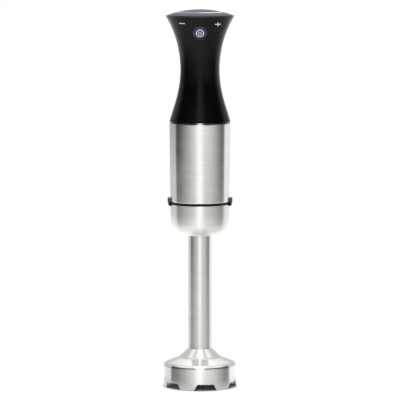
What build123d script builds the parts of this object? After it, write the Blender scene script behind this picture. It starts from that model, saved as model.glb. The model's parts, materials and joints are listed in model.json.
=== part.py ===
from build123d import *
import math
import os

# Hand blender (immersion blender) that stands on its blending foot.
# Millimetres, +Z up, origin on the axis at the foot's rim, controls facing -Y.

# Clearances
FIT = 0.05              # between fixed pieces that seat in each other
RUNNING_FIT = 0.04      # radial, shaft in bush or bearing
SLIDE_GAP = 0.3         # between pieces that slide or turn past each other
CUT_OVER = 2.0          # how far a cutting tool runs past the face it opens

# Bell guard of the blending foot
BELL_RADIUS = 38.0
BELL_WALL = 1.0
SKIRT_HEIGHT = 25.2
SHOULDER_CURVE = 2.5
DISH_ANGLE = 20.0
CONE_BASE_RADIUS = 22.0
CONE_CURVE = 9.0
CONE_ANGLE = 43.0
WELD_NECK = 0.6
NECK_CURVE = 0.8
NOTCH_COUNT = 6
NOTCH_TURN = 9.0
NOTCH_MOUTH = 24.4
NOTCH_TOP = 17.5
NOTCH_DEPTH = 6.4
NOTCH_CURVE = 2.0

# Shaft tube and coupling cup
TUBE_RADIUS = 12.2
TUBE_WALL = 1.0
TUBE_SHOWN = 118.1
TUBE_IN_CUP = 12.0
CUP_STEP = 0.2          # cup narrower than the sleeve above it
CUP_WALL = 1.0
CUP_CORNER_CURVE = 16.0
CUP_DISH_ANGLE = 23.5
CUP_HEIGHT = 33.3

# Drive train in the foot
SHAFT_RADIUS = 4.0
STUD_RADIUS = 3.0
BUSH_RADIUS = 7.0
BUSH_LENGTH = 12.0
BUSH_FLANGE_RADIUS = 9.0
BUSH_FLANGE = 1.5
SEAL_LENGTH = 6.0
SEAL_LIP = 1.2
SEAL_CAP = 2.0
CARRIER_NOSE_WALL = 2.0
CARRIER_BOTTOM = 20.0
CARRIER_LAP = 12.0      # length inside the tube
BLADE_HEIGHT = 11.0
BLADE_SHEET = 1.5
BLADE_HUB_RADIUS = 7.5
BLADE_REACH = 26.0
BLADE_WIDTH = 10.0
BLADE_TIP_WIDTH = 5.0
BLADE_EDGE = 0.4
BLADE_RISE = 24.0       # degrees, wings bent up
BLADE_FALL = 10.0       # degrees, wings bent down
NUT_RADIUS = 5.2
NUT_HEIGHT = 4.5
NUT_FLOOR = 1.2
SPACER_RADIUS = 6.0
COLLAR_WALL = 2.0
COLLAR_HEIGHT = 2.0

# Plug-in neck of the foot and the drive coupling
NECK_BOSS_WALL = 3.0
NECK_BOSS_LAP = 7.0
NECK_FLOOR = 6.0
NECK_PLATE = 4.0
SPIGOT_RADIUS = 17.5
SPIGOT_WALL = 3.5
SPIGOT_HEIGHT = 20.0
GROOVE_DEPTH = 1.5
STAR_CORE = 6.5
STAR_LOBE = 1.8
STAR_LOBES = 6
STAR_HEIGHT = 16.0
STAR_FOOT = 3.0
DRIVE_LAP = 12.0
DRIVE_WALL = 3.0
DRIVE_HUB = 6.0

# Latch housing with the two release buttons
SEAM_GAP = 0.2
SEAM_SHOWN = 2.4
SEAM_INSET = 0.5
LATCH_WALL = 2.0
LATCH_WEB = 3.0
COVER_HEIGHT = 3.2
LEDGE_HEIGHT = 1.0
EAR_OVERHANG = 2.2
EAR_DROP = 2.0
EAR_EDGE = 1.0
LATCH_PLATE = 2.0
LATCH_RING = 1.9
LATCH_ARM_WIDTH = 6.5
RELEASE_TRAVEL = 1.5
KNOB_WIDTH = 13.0
KNOB_HEIGHT = 5.3
KNOB_PROUD = 2.9
KNOB_CURVE = 2.0
KNOB_EDGE = 1.4
FLANGE_MARGIN = 1.5
FLANGE_SHEET = 1.4
SPRING_RADIUS = 2.2
SPRING_WIRE = 0.5
SPRING_PITCH = 1.2
COVER_SCREWS = 4
COVER_SCREW_RADIUS = 0.7
COVER_SCREW_HEAD = 1.4
COVER_SCREW_LENGTH = 9.0

# Motor housing sleeve
SLEEVE_HEIGHT = 82.2
SLEEVE_BASE_RADIUS = 31.0
SLEEVE_FLARE = 1.1      # sleeve wider at its top than at its base
SLEEVE_WALL = 1.0

# Motor
FRAME_WALL = 1.8
FRAME_FLOOR = 6.0
MOTOR_SHAFT_RADIUS = 3.0
BEARING_RADIUS = 8.0
BEARING_HEIGHT = 5.0
BEARING_GROOVE = 1.0
FAN_GAP = 3.35
FAN_HEIGHT = 6.0
FAN_HUB_RADIUS = 6.0
FAN_EYE_RADIUS = 12.0
FAN_BLADES = 11
FAN_SHEET = 1.2
WINDING_HEAD = 4.5
STATOR_YOKE = 4.0
POLE_HALF_WIDTH = 8.0
POLE_SHOE = 2.5
POLE_SPAN = 120.0       # degrees
COIL_DEPTH = 6.6
AIR_GAP = 0.5
ARMATURE_SLOTS = 12
SLOT_RADIUS = 1.9
SLOT_MOUTH = 1.2
COMMUTATOR_RADIUS = 9.0
COMMUTATOR_HEIGHT = 8.0
COMMUTATOR_BARS = 24
BAR_GAP = 0.4
BAR_DEPTH = 1.5
BRACKET_SHEET = 3.0
BRACKET_LEGS = 4
BRACKET_LEG = 3.0
BRACKET_LEG_WIDTH = 10.0
BRUSH_WIDTH = 5.0
BRUSH_HEIGHT = 5.0
BRUSH_LENGTH = 11.0
HOLDER_WALL = 1.0

# Light band and driver board between sleeve and grip
BAND_HEIGHT = 1.7
BAND_DEPTH = 2.6
BOARD_SHEET = 1.6
LED_COUNT = 12
LED_SIZE = 2.0
LED_HEIGHT = 1.0
CAPACITOR_SIZE = (18.0, 8.0, 14.0)
TERMINAL_SIZE = (16.0, 8.0, 11.0)
BOARD_PART_OFFSET = 9.0

# Grip and its top
GRIP_WALL = 2.2
GRIP_STEP = 0.3         # grip narrower than the light band under it
GRIP_BASE_TAPER = 16.2  # degrees
GRIP_WAIST_RADIUS = 20.4
GRIP_RIM_RADIUS = 35.7
GRIP_LOWER_HEIGHT = 54.1
GRIP_UPPER_HEIGHT = 55.4
CAP_RISE = 5.8
CAP_WALL = 2.0
CAP_EDGE = 3.0
CAP_EDGE_WALL = 2.5
TOP_LIGHT_RADIUS = 24.5
TOP_LIGHT_WIDTH = 3.5
TOP_LIGHT_DEPTH = 1.2
TOP_BOARD_WIDTH = 12.0

# Controls on the grip
BUTTON_DROP = 16.5      # below the rim
BUTTON_RADIUS = 4.3
BUTTON_GAP = 0.2
BUTTON_PROUD = 0.4
BUTTON_TRAVEL = 1.0
BUTTON_FLANGE = 1.2
GUIDE_WALL = 0.8
GUIDE_LENGTH = 4.0
LIGHT_RING_WIDTH = 2.2
CONTROL_BOARD_DEPTH = 12.0
CONTROL_BOARD_SIZE = (30.0, 18.0)
POST_RADIUS = 2.4
POST_OFFSET = 12.0
BOARD_SCREW_RADIUS = 0.9
BOARD_SCREW_HEAD = 1.8
BOARD_SCREW_HEAD_HEIGHT = 1.2
BOARD_SCREW_LENGTH = 6.0
SWITCH_SIZE = 6.0
PLUNGER_RADIUS = 1.7
PLUNGER_HEIGHT = 0.8
TOUCH_DROP = 8.0        # below the rim
TOUCH_TURN = 36.5       # degrees from the front
TOUCH_RADIUS = 4.5
TOUCH_FOIL = 0.3
GLAND_DROP = 26.0       # below the rim, at the back
GLAND_RADIUS = 5.0
GLAND_FLANGE = 6.5
GLAND_PROUD = 2.0
GLAND_BORE = 3.4
GLAND_LIP = 1.5
GLAND_CLEAR = 2.2       # between wall and inner lip, for the curve of the wall

# Outer radii that follow the sleeve
CUP_RADIUS = SLEEVE_BASE_RADIUS - CUP_STEP
SLEEVE_TOP_RADIUS = SLEEVE_BASE_RADIUS + SLEEVE_FLARE
GRIP_BASE_RADIUS = SLEEVE_TOP_RADIUS - GRIP_STEP

# Heights worked out from the sizes above, from the floor up
Z_CONE_BASE = SKIRT_HEIGHT + (BELL_RADIUS - CONE_BASE_RADIUS) * math.tan(math.radians(DISH_ANGLE))
Z_CONE_TOP = Z_CONE_BASE + (CONE_BASE_RADIUS - TUBE_RADIUS) * math.tan(math.radians(CONE_ANGLE))
Z_WELD = Z_CONE_TOP + WELD_NECK
Z_CUP = Z_WELD + TUBE_SHOWN
Z_TUBE_TOP = Z_CUP + TUBE_IN_CUP
Z_CUP_CORNER = Z_CUP + (CUP_RADIUS - TUBE_RADIUS) * math.tan(math.radians(CUP_DISH_ANGLE))
Z_CUP_TOP = Z_CUP + CUP_HEIGHT
Z_SEAL = CARRIER_BOTTOM + SEAL_CAP
Z_BUSH = Z_SEAL + SEAL_LENGTH
Z_BUSH_TOP = Z_BUSH + BUSH_LENGTH
Z_BLADE_TOP = BLADE_HEIGHT + BLADE_SHEET
Z_NUT = BLADE_HEIGHT - NUT_HEIGHT
Z_NECK_FLOOR = Z_TUBE_TOP + NECK_FLOOR
Z_COLLAR = Z_NECK_FLOOR + BUSH_FLANGE + SLIDE_GAP
Z_STAR = Z_COLLAR + COLLAR_HEIGHT
Z_STAR_TOP = Z_STAR + STAR_FOOT + STAR_HEIGHT
Z_SPIGOT_TOP = Z_CUP_TOP + SPIGOT_HEIGHT
Z_DRIVE = Z_STAR_TOP - DRIVE_LAP
Z_DRIVE_TOP = Z_STAR_TOP + SLIDE_GAP + DRIVE_HUB
Z_COVER = Z_CUP_TOP + SEAM_GAP
Z_SLEEVE = Z_COVER + SEAM_SHOWN
Z_LATCH = Z_COVER + COVER_HEIGHT
Z_LEVELS = [Z_LATCH + SLIDE_GAP, Z_LATCH + 2 * SLIDE_GAP + LATCH_PLATE]
Z_GUIDE = Z_LEVELS[1] + LATCH_PLATE + SLIDE_GAP
Z_WEB = max(Z_SPIGOT_TOP, Z_DRIVE_TOP) + SLIDE_GAP
Z_FRAME = Z_WEB + LATCH_WEB
Z_FRAME_FLOOR = Z_FRAME + FRAME_FLOOR
Z_BAND = Z_SLEEVE + SLEEVE_HEIGHT
Z_FAN = Z_FRAME_FLOOR + SLIDE_GAP
Z_STACK = Z_FAN + FAN_HEIGHT + SLIDE_GAP + WINDING_HEAD
Z_MOTOR_TOP = Z_BAND - SLIDE_GAP
Z_UPPER_BEARING = Z_MOTOR_TOP - BEARING_HEIGHT
Z_BRACKET = Z_UPPER_BEARING - BRACKET_SHEET
Z_COMMUTATOR = Z_BRACKET - SLIDE_GAP - COMMUTATOR_HEIGHT
Z_STACK_TOP = Z_COMMUTATOR - SLIDE_GAP - WINDING_HEAD
Z_GRIP = Z_BAND + BAND_HEIGHT
Z_WAIST = Z_GRIP + GRIP_LOWER_HEIGHT
Z_RIM = Z_WAIST + GRIP_UPPER_HEIGHT
BUTTON_HEIGHT = GRIP_UPPER_HEIGHT - BUTTON_DROP
TOUCH_HEIGHT = GRIP_UPPER_HEIGHT - TOUCH_DROP
GLAND_HEIGHT = GRIP_UPPER_HEIGHT - GLAND_DROP

# Radii worked out from the sizes above
TUBE_BORE = TUBE_RADIUS - TUBE_WALL
SHAFT_BORE = SHAFT_RADIUS + RUNNING_FIT
SEAT_BORE = BUSH_RADIUS + FIT
SPIGOT_BORE = SPIGOT_RADIUS - SPIGOT_WALL
SOCKET_RADIUS = SPIGOT_RADIUS + SLIDE_GAP
DRIVE_RADIUS = STAR_CORE + STAR_LOBE + SLIDE_GAP + DRIVE_WALL
LATCH_RADIUS = SLEEVE_BASE_RADIUS - SLEEVE_WALL - FIT
LATCH_BORE = LATCH_RADIUS - LATCH_WALL
LATCH_HOLE = SPIGOT_RADIUS + RELEASE_TRAVEL + SLIDE_GAP
FLANGE_WIDTH = KNOB_WIDTH + 2 * FLANGE_MARGIN
FLANGE_FACE = math.sqrt(LATCH_BORE**2 - (FLANGE_WIDTH / 2) ** 2) - SLIDE_GAP
FRAME_BORE = LATCH_RADIUS - FRAME_WALL
FRAME_LEDGE = FRAME_BORE - FRAME_WALL
FAN_RADIUS = FRAME_LEDGE - FAN_GAP
POLE_REACH = FRAME_BORE - FIT - STATOR_YOKE
STATOR_BORE = POLE_REACH - COIL_DEPTH - POLE_SHOE
ARMATURE_RADIUS = STATOR_BORE - AIR_GAP
UPPER_CURVE = ((GRIP_RIM_RADIUS - GRIP_WAIST_RADIUS) ** 2 + GRIP_UPPER_HEIGHT**2) / (
    2 * (GRIP_RIM_RADIUS - GRIP_WAIST_RADIUS)
)
RIM_SLOPE = math.asin(GRIP_UPPER_HEIGHT / UPPER_CURVE)
CAP_RADIUS = GRIP_RIM_RADIUS - GRIP_WALL * math.cos(RIM_SLOPE) - FIT
Z_CAP = Z_RIM + GRIP_WALL * math.sin(RIM_SLOPE)
CAP_FOOT_RADIUS = CAP_RADIUS - CAP_EDGE * math.tan(RIM_SLOPE)
BUTTON_BORE = BUTTON_RADIUS + BUTTON_GAP
GUIDE_RADIUS = BUTTON_BORE + GUIDE_WALL
LIGHT_RING_RADIUS = GUIDE_RADIUS + FIT + LIGHT_RING_WIDTH

BASE = (Align.CENTER, Align.CENTER, Align.MIN)


def ring(outer, inner, low, high):
    """Hollow cylinder about Z between two heights."""
    return Pos(0, 0, low) * (
        Cylinder(outer, high - low, align=BASE) - Cylinder(inner, high - low, align=BASE)
    )


def rod(radius, low, high):
    """Plain cylinder about Z between two heights."""
    return Pos(0, 0, low) * Cylinder(radius, high - low, align=BASE)


def lathe(*outline):
    """Solid of revolution about Z from a closed outline of (radius, height) points."""
    return revolve(Plane.XZ * make_face(Polyline(*outline, close=True)), Axis.Z)


def drawn_shell(path, wall):
    """Sheet of one thickness about Z; the path is its outer line, from top to bottom."""
    ribbon = offset(Wire(path.edges()), amount=wall, side=Side.RIGHT)
    return revolve(Plane.XZ * make_face(ribbon.edges()), Axis.Z)


def prism(sketch, low, high):
    """Flat outline raised between two heights."""
    return extrude(Pos(0, 0, low) * sketch, high - low)


def block(x_range, y_range, z_range):
    """Box between three pairs of limits."""
    low = [x_range[0], y_range[0], z_range[0]]
    size = [x_range[1] - x_range[0], y_range[1] - y_range[0], z_range[1] - z_range[0]]
    return Pos(*low) * Box(*size, align=(Align.MIN, Align.MIN, Align.MIN))


def star(clearance):
    """Six-lobed outline of the drive coupling."""
    lobes = PolarLocations(STAR_CORE, STAR_LOBES) * Circle(STAR_LOBE + clearance)
    return Circle(STAR_CORE + clearance) + lobes


# Blending foot


def bell_guard():
    """Drawn bell with a skirt that is notched round its rim."""
    bell = drawn_shell(
        FilletPolyline(
            (TUBE_RADIUS, Z_WELD),
            (TUBE_RADIUS, Z_CONE_TOP),
            (CONE_BASE_RADIUS, Z_CONE_BASE),
            (BELL_RADIUS, SKIRT_HEIGHT),
            (BELL_RADIUS, 0),
            radius=[NECK_CURVE, CONE_CURVE, SHOULDER_CURVE],
        ),
        BELL_WALL,
    )
    outline = make_face(
        Polyline(
            (-NOTCH_MOUTH / 2, -CUT_OVER),
            (-NOTCH_MOUTH / 2, 0),
            (-NOTCH_TOP / 2, NOTCH_DEPTH),
            (NOTCH_TOP / 2, NOTCH_DEPTH),
            (NOTCH_MOUTH / 2, 0),
            (NOTCH_MOUTH / 2, -CUT_OVER),
            close=True,
        )
    )
    outline = fillet(outline.vertices().group_by(Axis.Y)[-1], NOTCH_CURVE)
    front = Plane(origin=(0, 0, 0), x_dir=(1, 0, 0), z_dir=(0, -1, 0))
    notch = extrude(front * outline, BELL_RADIUS + CUT_OVER)
    for index in range(NOTCH_COUNT):
        bell -= Rot(0, 0, NOTCH_TURN + index * 360 / NOTCH_COUNT) * notch
    return bell


def shaft_tube():
    return ring(TUBE_RADIUS, TUBE_BORE, Z_WELD, Z_TUBE_TOP)


def bearing_carrier():
    """Plug in the lower end of the tube that holds the bush and the seal."""
    radius = TUBE_RADIUS - max(TUBE_WALL, BELL_WALL) - FIT
    return lathe(
        (SEAT_BORE, CARRIER_BOTTOM),
        (SEAT_BORE + CARRIER_NOSE_WALL, CARRIER_BOTTOM),
        (radius, Z_CONE_TOP),
        (radius, Z_WELD + CARRIER_LAP),
        (SHAFT_RADIUS + SLIDE_GAP, Z_WELD + CARRIER_LAP),
        (SHAFT_RADIUS + SLIDE_GAP, Z_BUSH_TOP),
        (SEAT_BORE, Z_BUSH_TOP),
    )


def lower_bush():
    return ring(BUSH_RADIUS, SHAFT_BORE, Z_BUSH, Z_BUSH_TOP)


def shaft_seal():
    """Lip seal whose lip leans towards the shaft."""
    lip = SHAFT_RADIUS + RUNNING_FIT
    return lathe(
        (lip, Z_SEAL),
        (BUSH_RADIUS, Z_SEAL),
        (BUSH_RADIUS, Z_BUSH),
        (BUSH_RADIUS - SEAL_LIP, Z_BUSH),
        (BUSH_RADIUS - SEAL_LIP, Z_SEAL + 2 * SEAL_LIP),
        (lip, Z_SEAL + SEAL_LIP),
    )


def seal_cap():
    return ring(BUSH_RADIUS, SHAFT_RADIUS + SLIDE_GAP, CARRIER_BOTTOM, Z_SEAL)


def coupling_cup():
    """Drawn cup that flares from the tube up to the seam."""
    slope = math.tan(math.radians(CUP_DISH_ANGLE))
    inner = TUBE_BORE
    cup = drawn_shell(
        FilletPolyline(
            (CUP_RADIUS, Z_CUP_TOP),
            (CUP_RADIUS, Z_CUP_CORNER),
            (inner, Z_CUP - (TUBE_RADIUS - inner) * slope),
            radius=CUP_CORNER_CURVE,
        ),
        CUP_WALL,
    )
    return cup - rod(TUBE_RADIUS + FIT, Z_WELD, Z_CUP_TOP)


def coupling_neck():
    """Moulded insert of the cup: seat for the tube, lid of the cup and plug-in spigot."""
    socket = TUBE_RADIUS + FIT
    boss = max(socket + NECK_BOSS_WALL, SPIGOT_BORE + SPIGOT_WALL)
    groove_low = Z_LATCH
    groove_high = Z_GUIDE
    return lathe(
        (socket, Z_TUBE_TOP - NECK_BOSS_LAP),
        (socket + NECK_BOSS_WALL, Z_TUBE_TOP - NECK_BOSS_LAP),
        (boss, Z_TUBE_TOP),
        (boss, Z_CUP_TOP - NECK_PLATE),
        (CUP_RADIUS - CUP_WALL - FIT, Z_CUP_TOP - NECK_PLATE),
        (CUP_RADIUS - CUP_WALL - FIT, Z_CUP_TOP),
        (SPIGOT_RADIUS, Z_CUP_TOP),
        (SPIGOT_RADIUS, groove_low),
        (SPIGOT_RADIUS - GROOVE_DEPTH, groove_low),
        (SPIGOT_RADIUS - GROOVE_DEPTH, groove_high),
        (SPIGOT_RADIUS, groove_high),
        (SPIGOT_RADIUS, Z_SPIGOT_TOP - GROOVE_DEPTH),
        (SPIGOT_RADIUS - GROOVE_DEPTH, Z_SPIGOT_TOP),
        (SPIGOT_BORE, Z_SPIGOT_TOP),
        (SPIGOT_BORE, Z_NECK_FLOOR),
        (SEAT_BORE, Z_NECK_FLOOR),
        (SEAT_BORE, Z_TUBE_TOP),
        (socket, Z_TUBE_TOP),
    )


def upper_bush():
    return lathe(
        (SHAFT_BORE, Z_TUBE_TOP),
        (BUSH_RADIUS, Z_TUBE_TOP),
        (BUSH_RADIUS, Z_NECK_FLOOR),
        (BUSH_FLANGE_RADIUS, Z_NECK_FLOOR),
        (BUSH_FLANGE_RADIUS, Z_NECK_FLOOR + BUSH_FLANGE),
        (SHAFT_BORE, Z_NECK_FLOOR + BUSH_FLANGE),
    )


# Cutter that turns in the foot


def drive_shaft():
    """Rod with a stud at each end, for the blade and for the coupling."""
    stud = rod(STUD_RADIUS, Z_NUT + NUT_FLOOR + FIT, Z_STAR_TOP)
    return stud + rod(SHAFT_RADIUS, Z_BLADE_TOP, Z_STAR)


def wing(bend):
    """One blade wing along +X, tapered to its tip, ground on one side and bent at the hub."""
    root = math.sqrt(BLADE_HUB_RADIUS**2 - (BLADE_WIDTH / 2) ** 2)
    reach = BLADE_REACH - root + CUT_OVER
    outline = make_face(
        Polyline(
            (0, -BLADE_WIDTH / 2),
            (reach, -BLADE_TIP_WIDTH / 2),
            (reach, BLADE_TIP_WIDTH / 2),
            (0, BLADE_WIDTH / 2),
            close=True,
        )
    )
    sheet = extrude(outline, BLADE_SHEET)
    cutting_edge = sheet.edges().group_by(Axis.Z)[-1].sort_by(Axis.Y)[-1]
    sheet = chamfer(cutting_edge, BLADE_SHEET - BLADE_EDGE)
    return Pos(root, 0, BLADE_HEIGHT) * Rot(0, -bend, 0) * sheet


def blade():
    """Four-winged cutter: two wings bent up and two bent down, on a round hub."""
    cutter = rod(BLADE_HUB_RADIUS, BLADE_HEIGHT, Z_BLADE_TOP)
    for turn, bend in [(0, BLADE_RISE), (90, -BLADE_FALL), (180, BLADE_RISE), (270, -BLADE_FALL)]:
        cutter += Rot(0, 0, turn) * wing(bend)
    cutter &= rod(BLADE_REACH, 0, SKIRT_HEIGHT + BLADE_REACH)
    cutter -= rod(SPACER_RADIUS + FIT, Z_BLADE_TOP, CARRIER_BOTTOM)
    return cutter - rod(STUD_RADIUS + FIT, Z_NUT, Z_BLADE_TOP)


def blade_spacer():
    return ring(SPACER_RADIUS, SHAFT_RADIUS + FIT, Z_BLADE_TOP, CARRIER_BOTTOM - SLIDE_GAP)


def blade_nut():
    """Closed hexagon nut under the blade."""
    nut = prism(RegularPolygon(NUT_RADIUS, 6), Z_NUT, BLADE_HEIGHT)
    return nut - rod(STUD_RADIUS + FIT, Z_NUT + NUT_FLOOR, BLADE_HEIGHT)


def shaft_collar():
    return ring(SHAFT_RADIUS + COLLAR_WALL, SHAFT_RADIUS + FIT, Z_COLLAR, Z_STAR)


def driven_coupling():
    """Six-lobed dog on the top of the drive shaft."""
    foot = rod(STAR_CORE + STAR_LOBE, Z_STAR, Z_STAR + STAR_FOOT)
    dog = foot + prism(star(0), Z_STAR + STAR_FOOT, Z_STAR_TOP)
    return dog - rod(STUD_RADIUS + FIT, Z_STAR, Z_STAR_TOP)


# Motor unit: latch housing and sleeve


def knob_heights():
    low = Z_COVER + LEDGE_HEIGHT + SEAM_GAP
    return low, low + KNOB_HEIGHT


def knob_window(inner):
    """Cutter on both sides for the knobs of the release buttons, with room to slide."""
    low, high = knob_heights()
    half = KNOB_WIDTH / 2 + SEAM_GAP
    reach = SLEEVE_BASE_RADIUS + KNOB_PROUD
    side = block((inner, reach), (-half, half), (low - SEAM_GAP, high + SEAM_GAP))
    return side + Rot(0, 0, 180) * side


def cover_screw_places():
    return PolarLocations(LATCH_RADIUS - LATCH_WALL / 2, COVER_SCREWS, 180 / COVER_SCREWS)


def latch_cover():
    """Black ring in the seam, with a ledge and an ear under each release button."""
    plate = lathe(
        (SOCKET_RADIUS, Z_COVER),
        (CUP_RADIUS - SEAM_INSET, Z_COVER),
        (CUP_RADIUS - SEAM_INSET, Z_SLEEVE),
        (LATCH_RADIUS, Z_SLEEVE),
        (LATCH_RADIUS, Z_LATCH),
        (SOCKET_RADIUS, Z_LATCH),
    )
    plate -= knob_window(FLANGE_FACE - FLANGE_SHEET - RELEASE_TRAVEL - SLIDE_GAP)
    clear = CUP_RADIUS + SLIDE_GAP
    reach = clear + EAR_OVERHANG
    ear = lathe(
        (LATCH_BORE, Z_COVER),
        (clear, Z_COVER),
        (clear, Z_COVER - EAR_DROP),
        (reach - EAR_EDGE, Z_COVER - EAR_DROP),
        (reach, Z_COVER - EAR_DROP + EAR_EDGE),
        (reach, Z_COVER + LEDGE_HEIGHT),
        (LATCH_BORE, Z_COVER + LEDGE_HEIGHT),
    )
    half = KNOB_WIDTH / 2
    width = block((-reach, reach), (-half, half), (Z_COVER - EAR_DROP, Z_SLEEVE))
    plate += ear & fillet(width.edges().filter_by(Axis.Z), KNOB_CURVE)
    for place in cover_screw_places():
        plate -= place * rod(COVER_SCREW_HEAD + FIT, Z_COVER, Z_COVER + COVER_SCREW_HEAD)
        plate -= place * rod(COVER_SCREW_RADIUS + FIT, Z_COVER, Z_LATCH)
    return plate


def cover_screws():
    screws = []
    for place in cover_screw_places():
        shank = rod(COVER_SCREW_RADIUS, Z_COVER, Z_COVER + COVER_SCREW_LENGTH)
        head = rod(COVER_SCREW_HEAD, Z_COVER, Z_COVER + COVER_SCREW_HEAD)
        screws.append(place * (shank + head))
    return Compound(children=screws)


def latch_housing():
    """Moulded bottom of the motor unit: socket for the spigot and guide of the buttons."""
    housing = lathe(
        (LATCH_RADIUS, Z_LATCH),
        (LATCH_RADIUS, Z_FRAME),
        (DRIVE_RADIUS + SLIDE_GAP, Z_FRAME),
        (DRIVE_RADIUS + SLIDE_GAP, Z_WEB),
        (SOCKET_RADIUS, Z_WEB),
        (SOCKET_RADIUS, Z_GUIDE),
        (SOCKET_RADIUS + LATCH_WALL, Z_GUIDE),
        (SOCKET_RADIUS + LATCH_WALL, Z_WEB),
        (LATCH_BORE, Z_WEB),
        (LATCH_BORE, Z_LATCH),
    )
    housing -= knob_window(FLANGE_FACE - SLIDE_GAP)
    for place in cover_screw_places():
        housing -= place * rod(COVER_SCREW_RADIUS + FIT, Z_LATCH, Z_COVER + COVER_SCREW_LENGTH)
    return housing


def spring_height():
    return Z_GUIDE + FLANGE_SHEET + SPRING_RADIUS + SPRING_WIRE


def release_button(level):
    """Knob on +X, its flange, and a plate round the spigot with the catch on the far side."""
    low, high = knob_heights()
    back = FLANGE_FACE - FLANGE_SHEET
    reach = SLEEVE_BASE_RADIUS + KNOB_PROUD
    knob = block((back, reach), (-KNOB_WIDTH / 2, KNOB_WIDTH / 2), (low, high))
    knob = fillet(knob.edges().filter_by(Axis.X), KNOB_CURVE)
    knob = fillet(knob.faces().sort_by(Axis.X)[-1].edges(), KNOB_EDGE)
    top = spring_height() + SPRING_RADIUS + SPRING_WIRE
    flange = block(
        (back, FLANGE_FACE),
        (-FLANGE_WIDTH / 2, FLANGE_WIDTH / 2),
        (Z_LATCH + SLIDE_GAP, max(top, high + FLANGE_MARGIN)),
    )
    far = LATCH_HOLE + LATCH_RING
    plate = ring(far, LATCH_HOLE, level, level + LATCH_PLATE)
    across = (-LATCH_ARM_WIDTH / 2, LATCH_ARM_WIDTH / 2)
    arm = block((LATCH_HOLE, FLANGE_FACE), across, (level, level + LATCH_PLATE))
    nose = block((LATCH_RING / 2 - far, 0), across, (level, level + LATCH_PLATE))
    nose -= rod(SPIGOT_RADIUS + SLIDE_GAP, level, level + LATCH_PLATE)
    return knob + flange + plate + arm + nose


def release_spring():
    """Coil between the socket wall and the flange of the button on +X."""
    start = SOCKET_RADIUS + LATCH_WALL + FIT + SPRING_WIRE / 2
    end = FLANGE_FACE - FLANGE_SHEET - FIT - SPRING_WIRE / 2
    path = Helix(SPRING_PITCH, end - start, SPRING_RADIUS)
    wire = sweep(Plane(origin=path @ 0, z_dir=path % 0) * Circle(SPRING_WIRE / 2), path=path)
    return Pos(start, 0, spring_height()) * Rot(0, 90, 0) * wire


def housing_sleeve():
    """Brushed sleeve round the motor, a little wider at the top."""
    top = Z_BAND
    sleeve = lathe(
        (SLEEVE_BASE_RADIUS, Z_SLEEVE),
        (SLEEVE_TOP_RADIUS, top),
        (SLEEVE_TOP_RADIUS - SLEEVE_WALL, top),
        (SLEEVE_BASE_RADIUS - SLEEVE_WALL, Z_SLEEVE),
    )
    return sleeve - knob_window(LATCH_BORE)


# Motor unit: motor


def motor_frame():
    """Cup that carries the lower bearing and the stator."""
    seat = BEARING_RADIUS + FIT
    return lathe(
        (seat - FRAME_WALL, Z_FRAME),
        (LATCH_RADIUS, Z_FRAME),
        (LATCH_RADIUS, Z_BAND),
        (FRAME_BORE, Z_BAND),
        (FRAME_BORE, Z_STACK),
        (FRAME_LEDGE, Z_STACK),
        (FRAME_LEDGE, Z_FRAME_FLOOR),
        (seat, Z_FRAME_FLOOR),
        (seat, Z_FRAME_FLOOR - BEARING_HEIGHT),
        (seat - FRAME_WALL, Z_FRAME_FLOOR - BEARING_HEIGHT),
    )


def bearing(low):
    """Ball bearing shown as one ring with a groove between its races."""
    race = (BEARING_RADIUS + MOTOR_SHAFT_RADIUS) / 2
    high = low + BEARING_HEIGHT
    body = ring(BEARING_RADIUS, MOTOR_SHAFT_RADIUS + RUNNING_FIT, low, high)
    return body - ring(race + BEARING_GROOVE, race - BEARING_GROOVE, high - BEARING_GROOVE, high)


def sector(outer, inner, span):
    """Flat ring sector that is centred on +Y."""
    reach = 2 * outer
    half = math.radians(span / 2)
    wedge = make_face(
        Polyline(
            (0, 0),
            (reach * math.sin(half), reach * math.cos(half)),
            (0, reach),
            (-reach * math.sin(half), reach * math.cos(half)),
            close=True,
        )
    )
    return (Circle(outer) - Circle(inner)) & wedge


def stator_core():
    """Two-pole lamination stack."""
    outer = FRAME_BORE - FIT
    section = Circle(outer) - Circle(POLE_REACH)
    for turn in (0, 180):
        neck = Pos(0, (STATOR_BORE + outer) / 2) * Rectangle(2 * POLE_HALF_WIDTH, outer - STATOR_BORE)
        neck = (neck & Circle(outer)) - Circle(STATOR_BORE)
        section += Rot(0, 0, turn) * (neck + sector(STATOR_BORE + POLE_SHOE, STATOR_BORE, POLE_SPAN))
    return prism(section, Z_STACK, Z_STACK_TOP)


def field_coils():
    """One coil round each pole, with heads past both ends of the stack."""
    inner = STATOR_BORE + POLE_SHOE + FIT
    section = sector(POLE_REACH - FIT, inner, POLE_SPAN)
    coil = prism(section, Z_STACK - WINDING_HEAD, Z_STACK_TOP + WINDING_HEAD)
    half = POLE_HALF_WIDTH + FIT
    coil -= block((-half, half), (0, POLE_REACH), (Z_STACK - FIT, Z_STACK_TOP + FIT))
    return Compound(children=[coil, Rot(0, 0, 180) * coil])


def brush_bracket():
    """Upper bearing bridge that stands on the stator."""
    seat = BEARING_RADIUS + FIT
    outer = FRAME_BORE - FIT
    bridge = ring(outer, MOTOR_SHAFT_RADIUS + SLIDE_GAP, Z_BRACKET, Z_UPPER_BEARING)
    bridge += ring(seat + BRACKET_SHEET, seat, Z_UPPER_BEARING, Z_MOTOR_TOP)
    half = BRACKET_LEG_WIDTH / 2
    leg = block((outer - BRACKET_LEG, outer), (-half, half), (Z_STACK_TOP, Z_BRACKET))
    bridge += [place * leg for place in PolarLocations(0, BRACKET_LEGS, 180 / BRACKET_LEGS)]
    return bridge & rod(outer, Z_STACK_TOP, Z_MOTOR_TOP)


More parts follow.
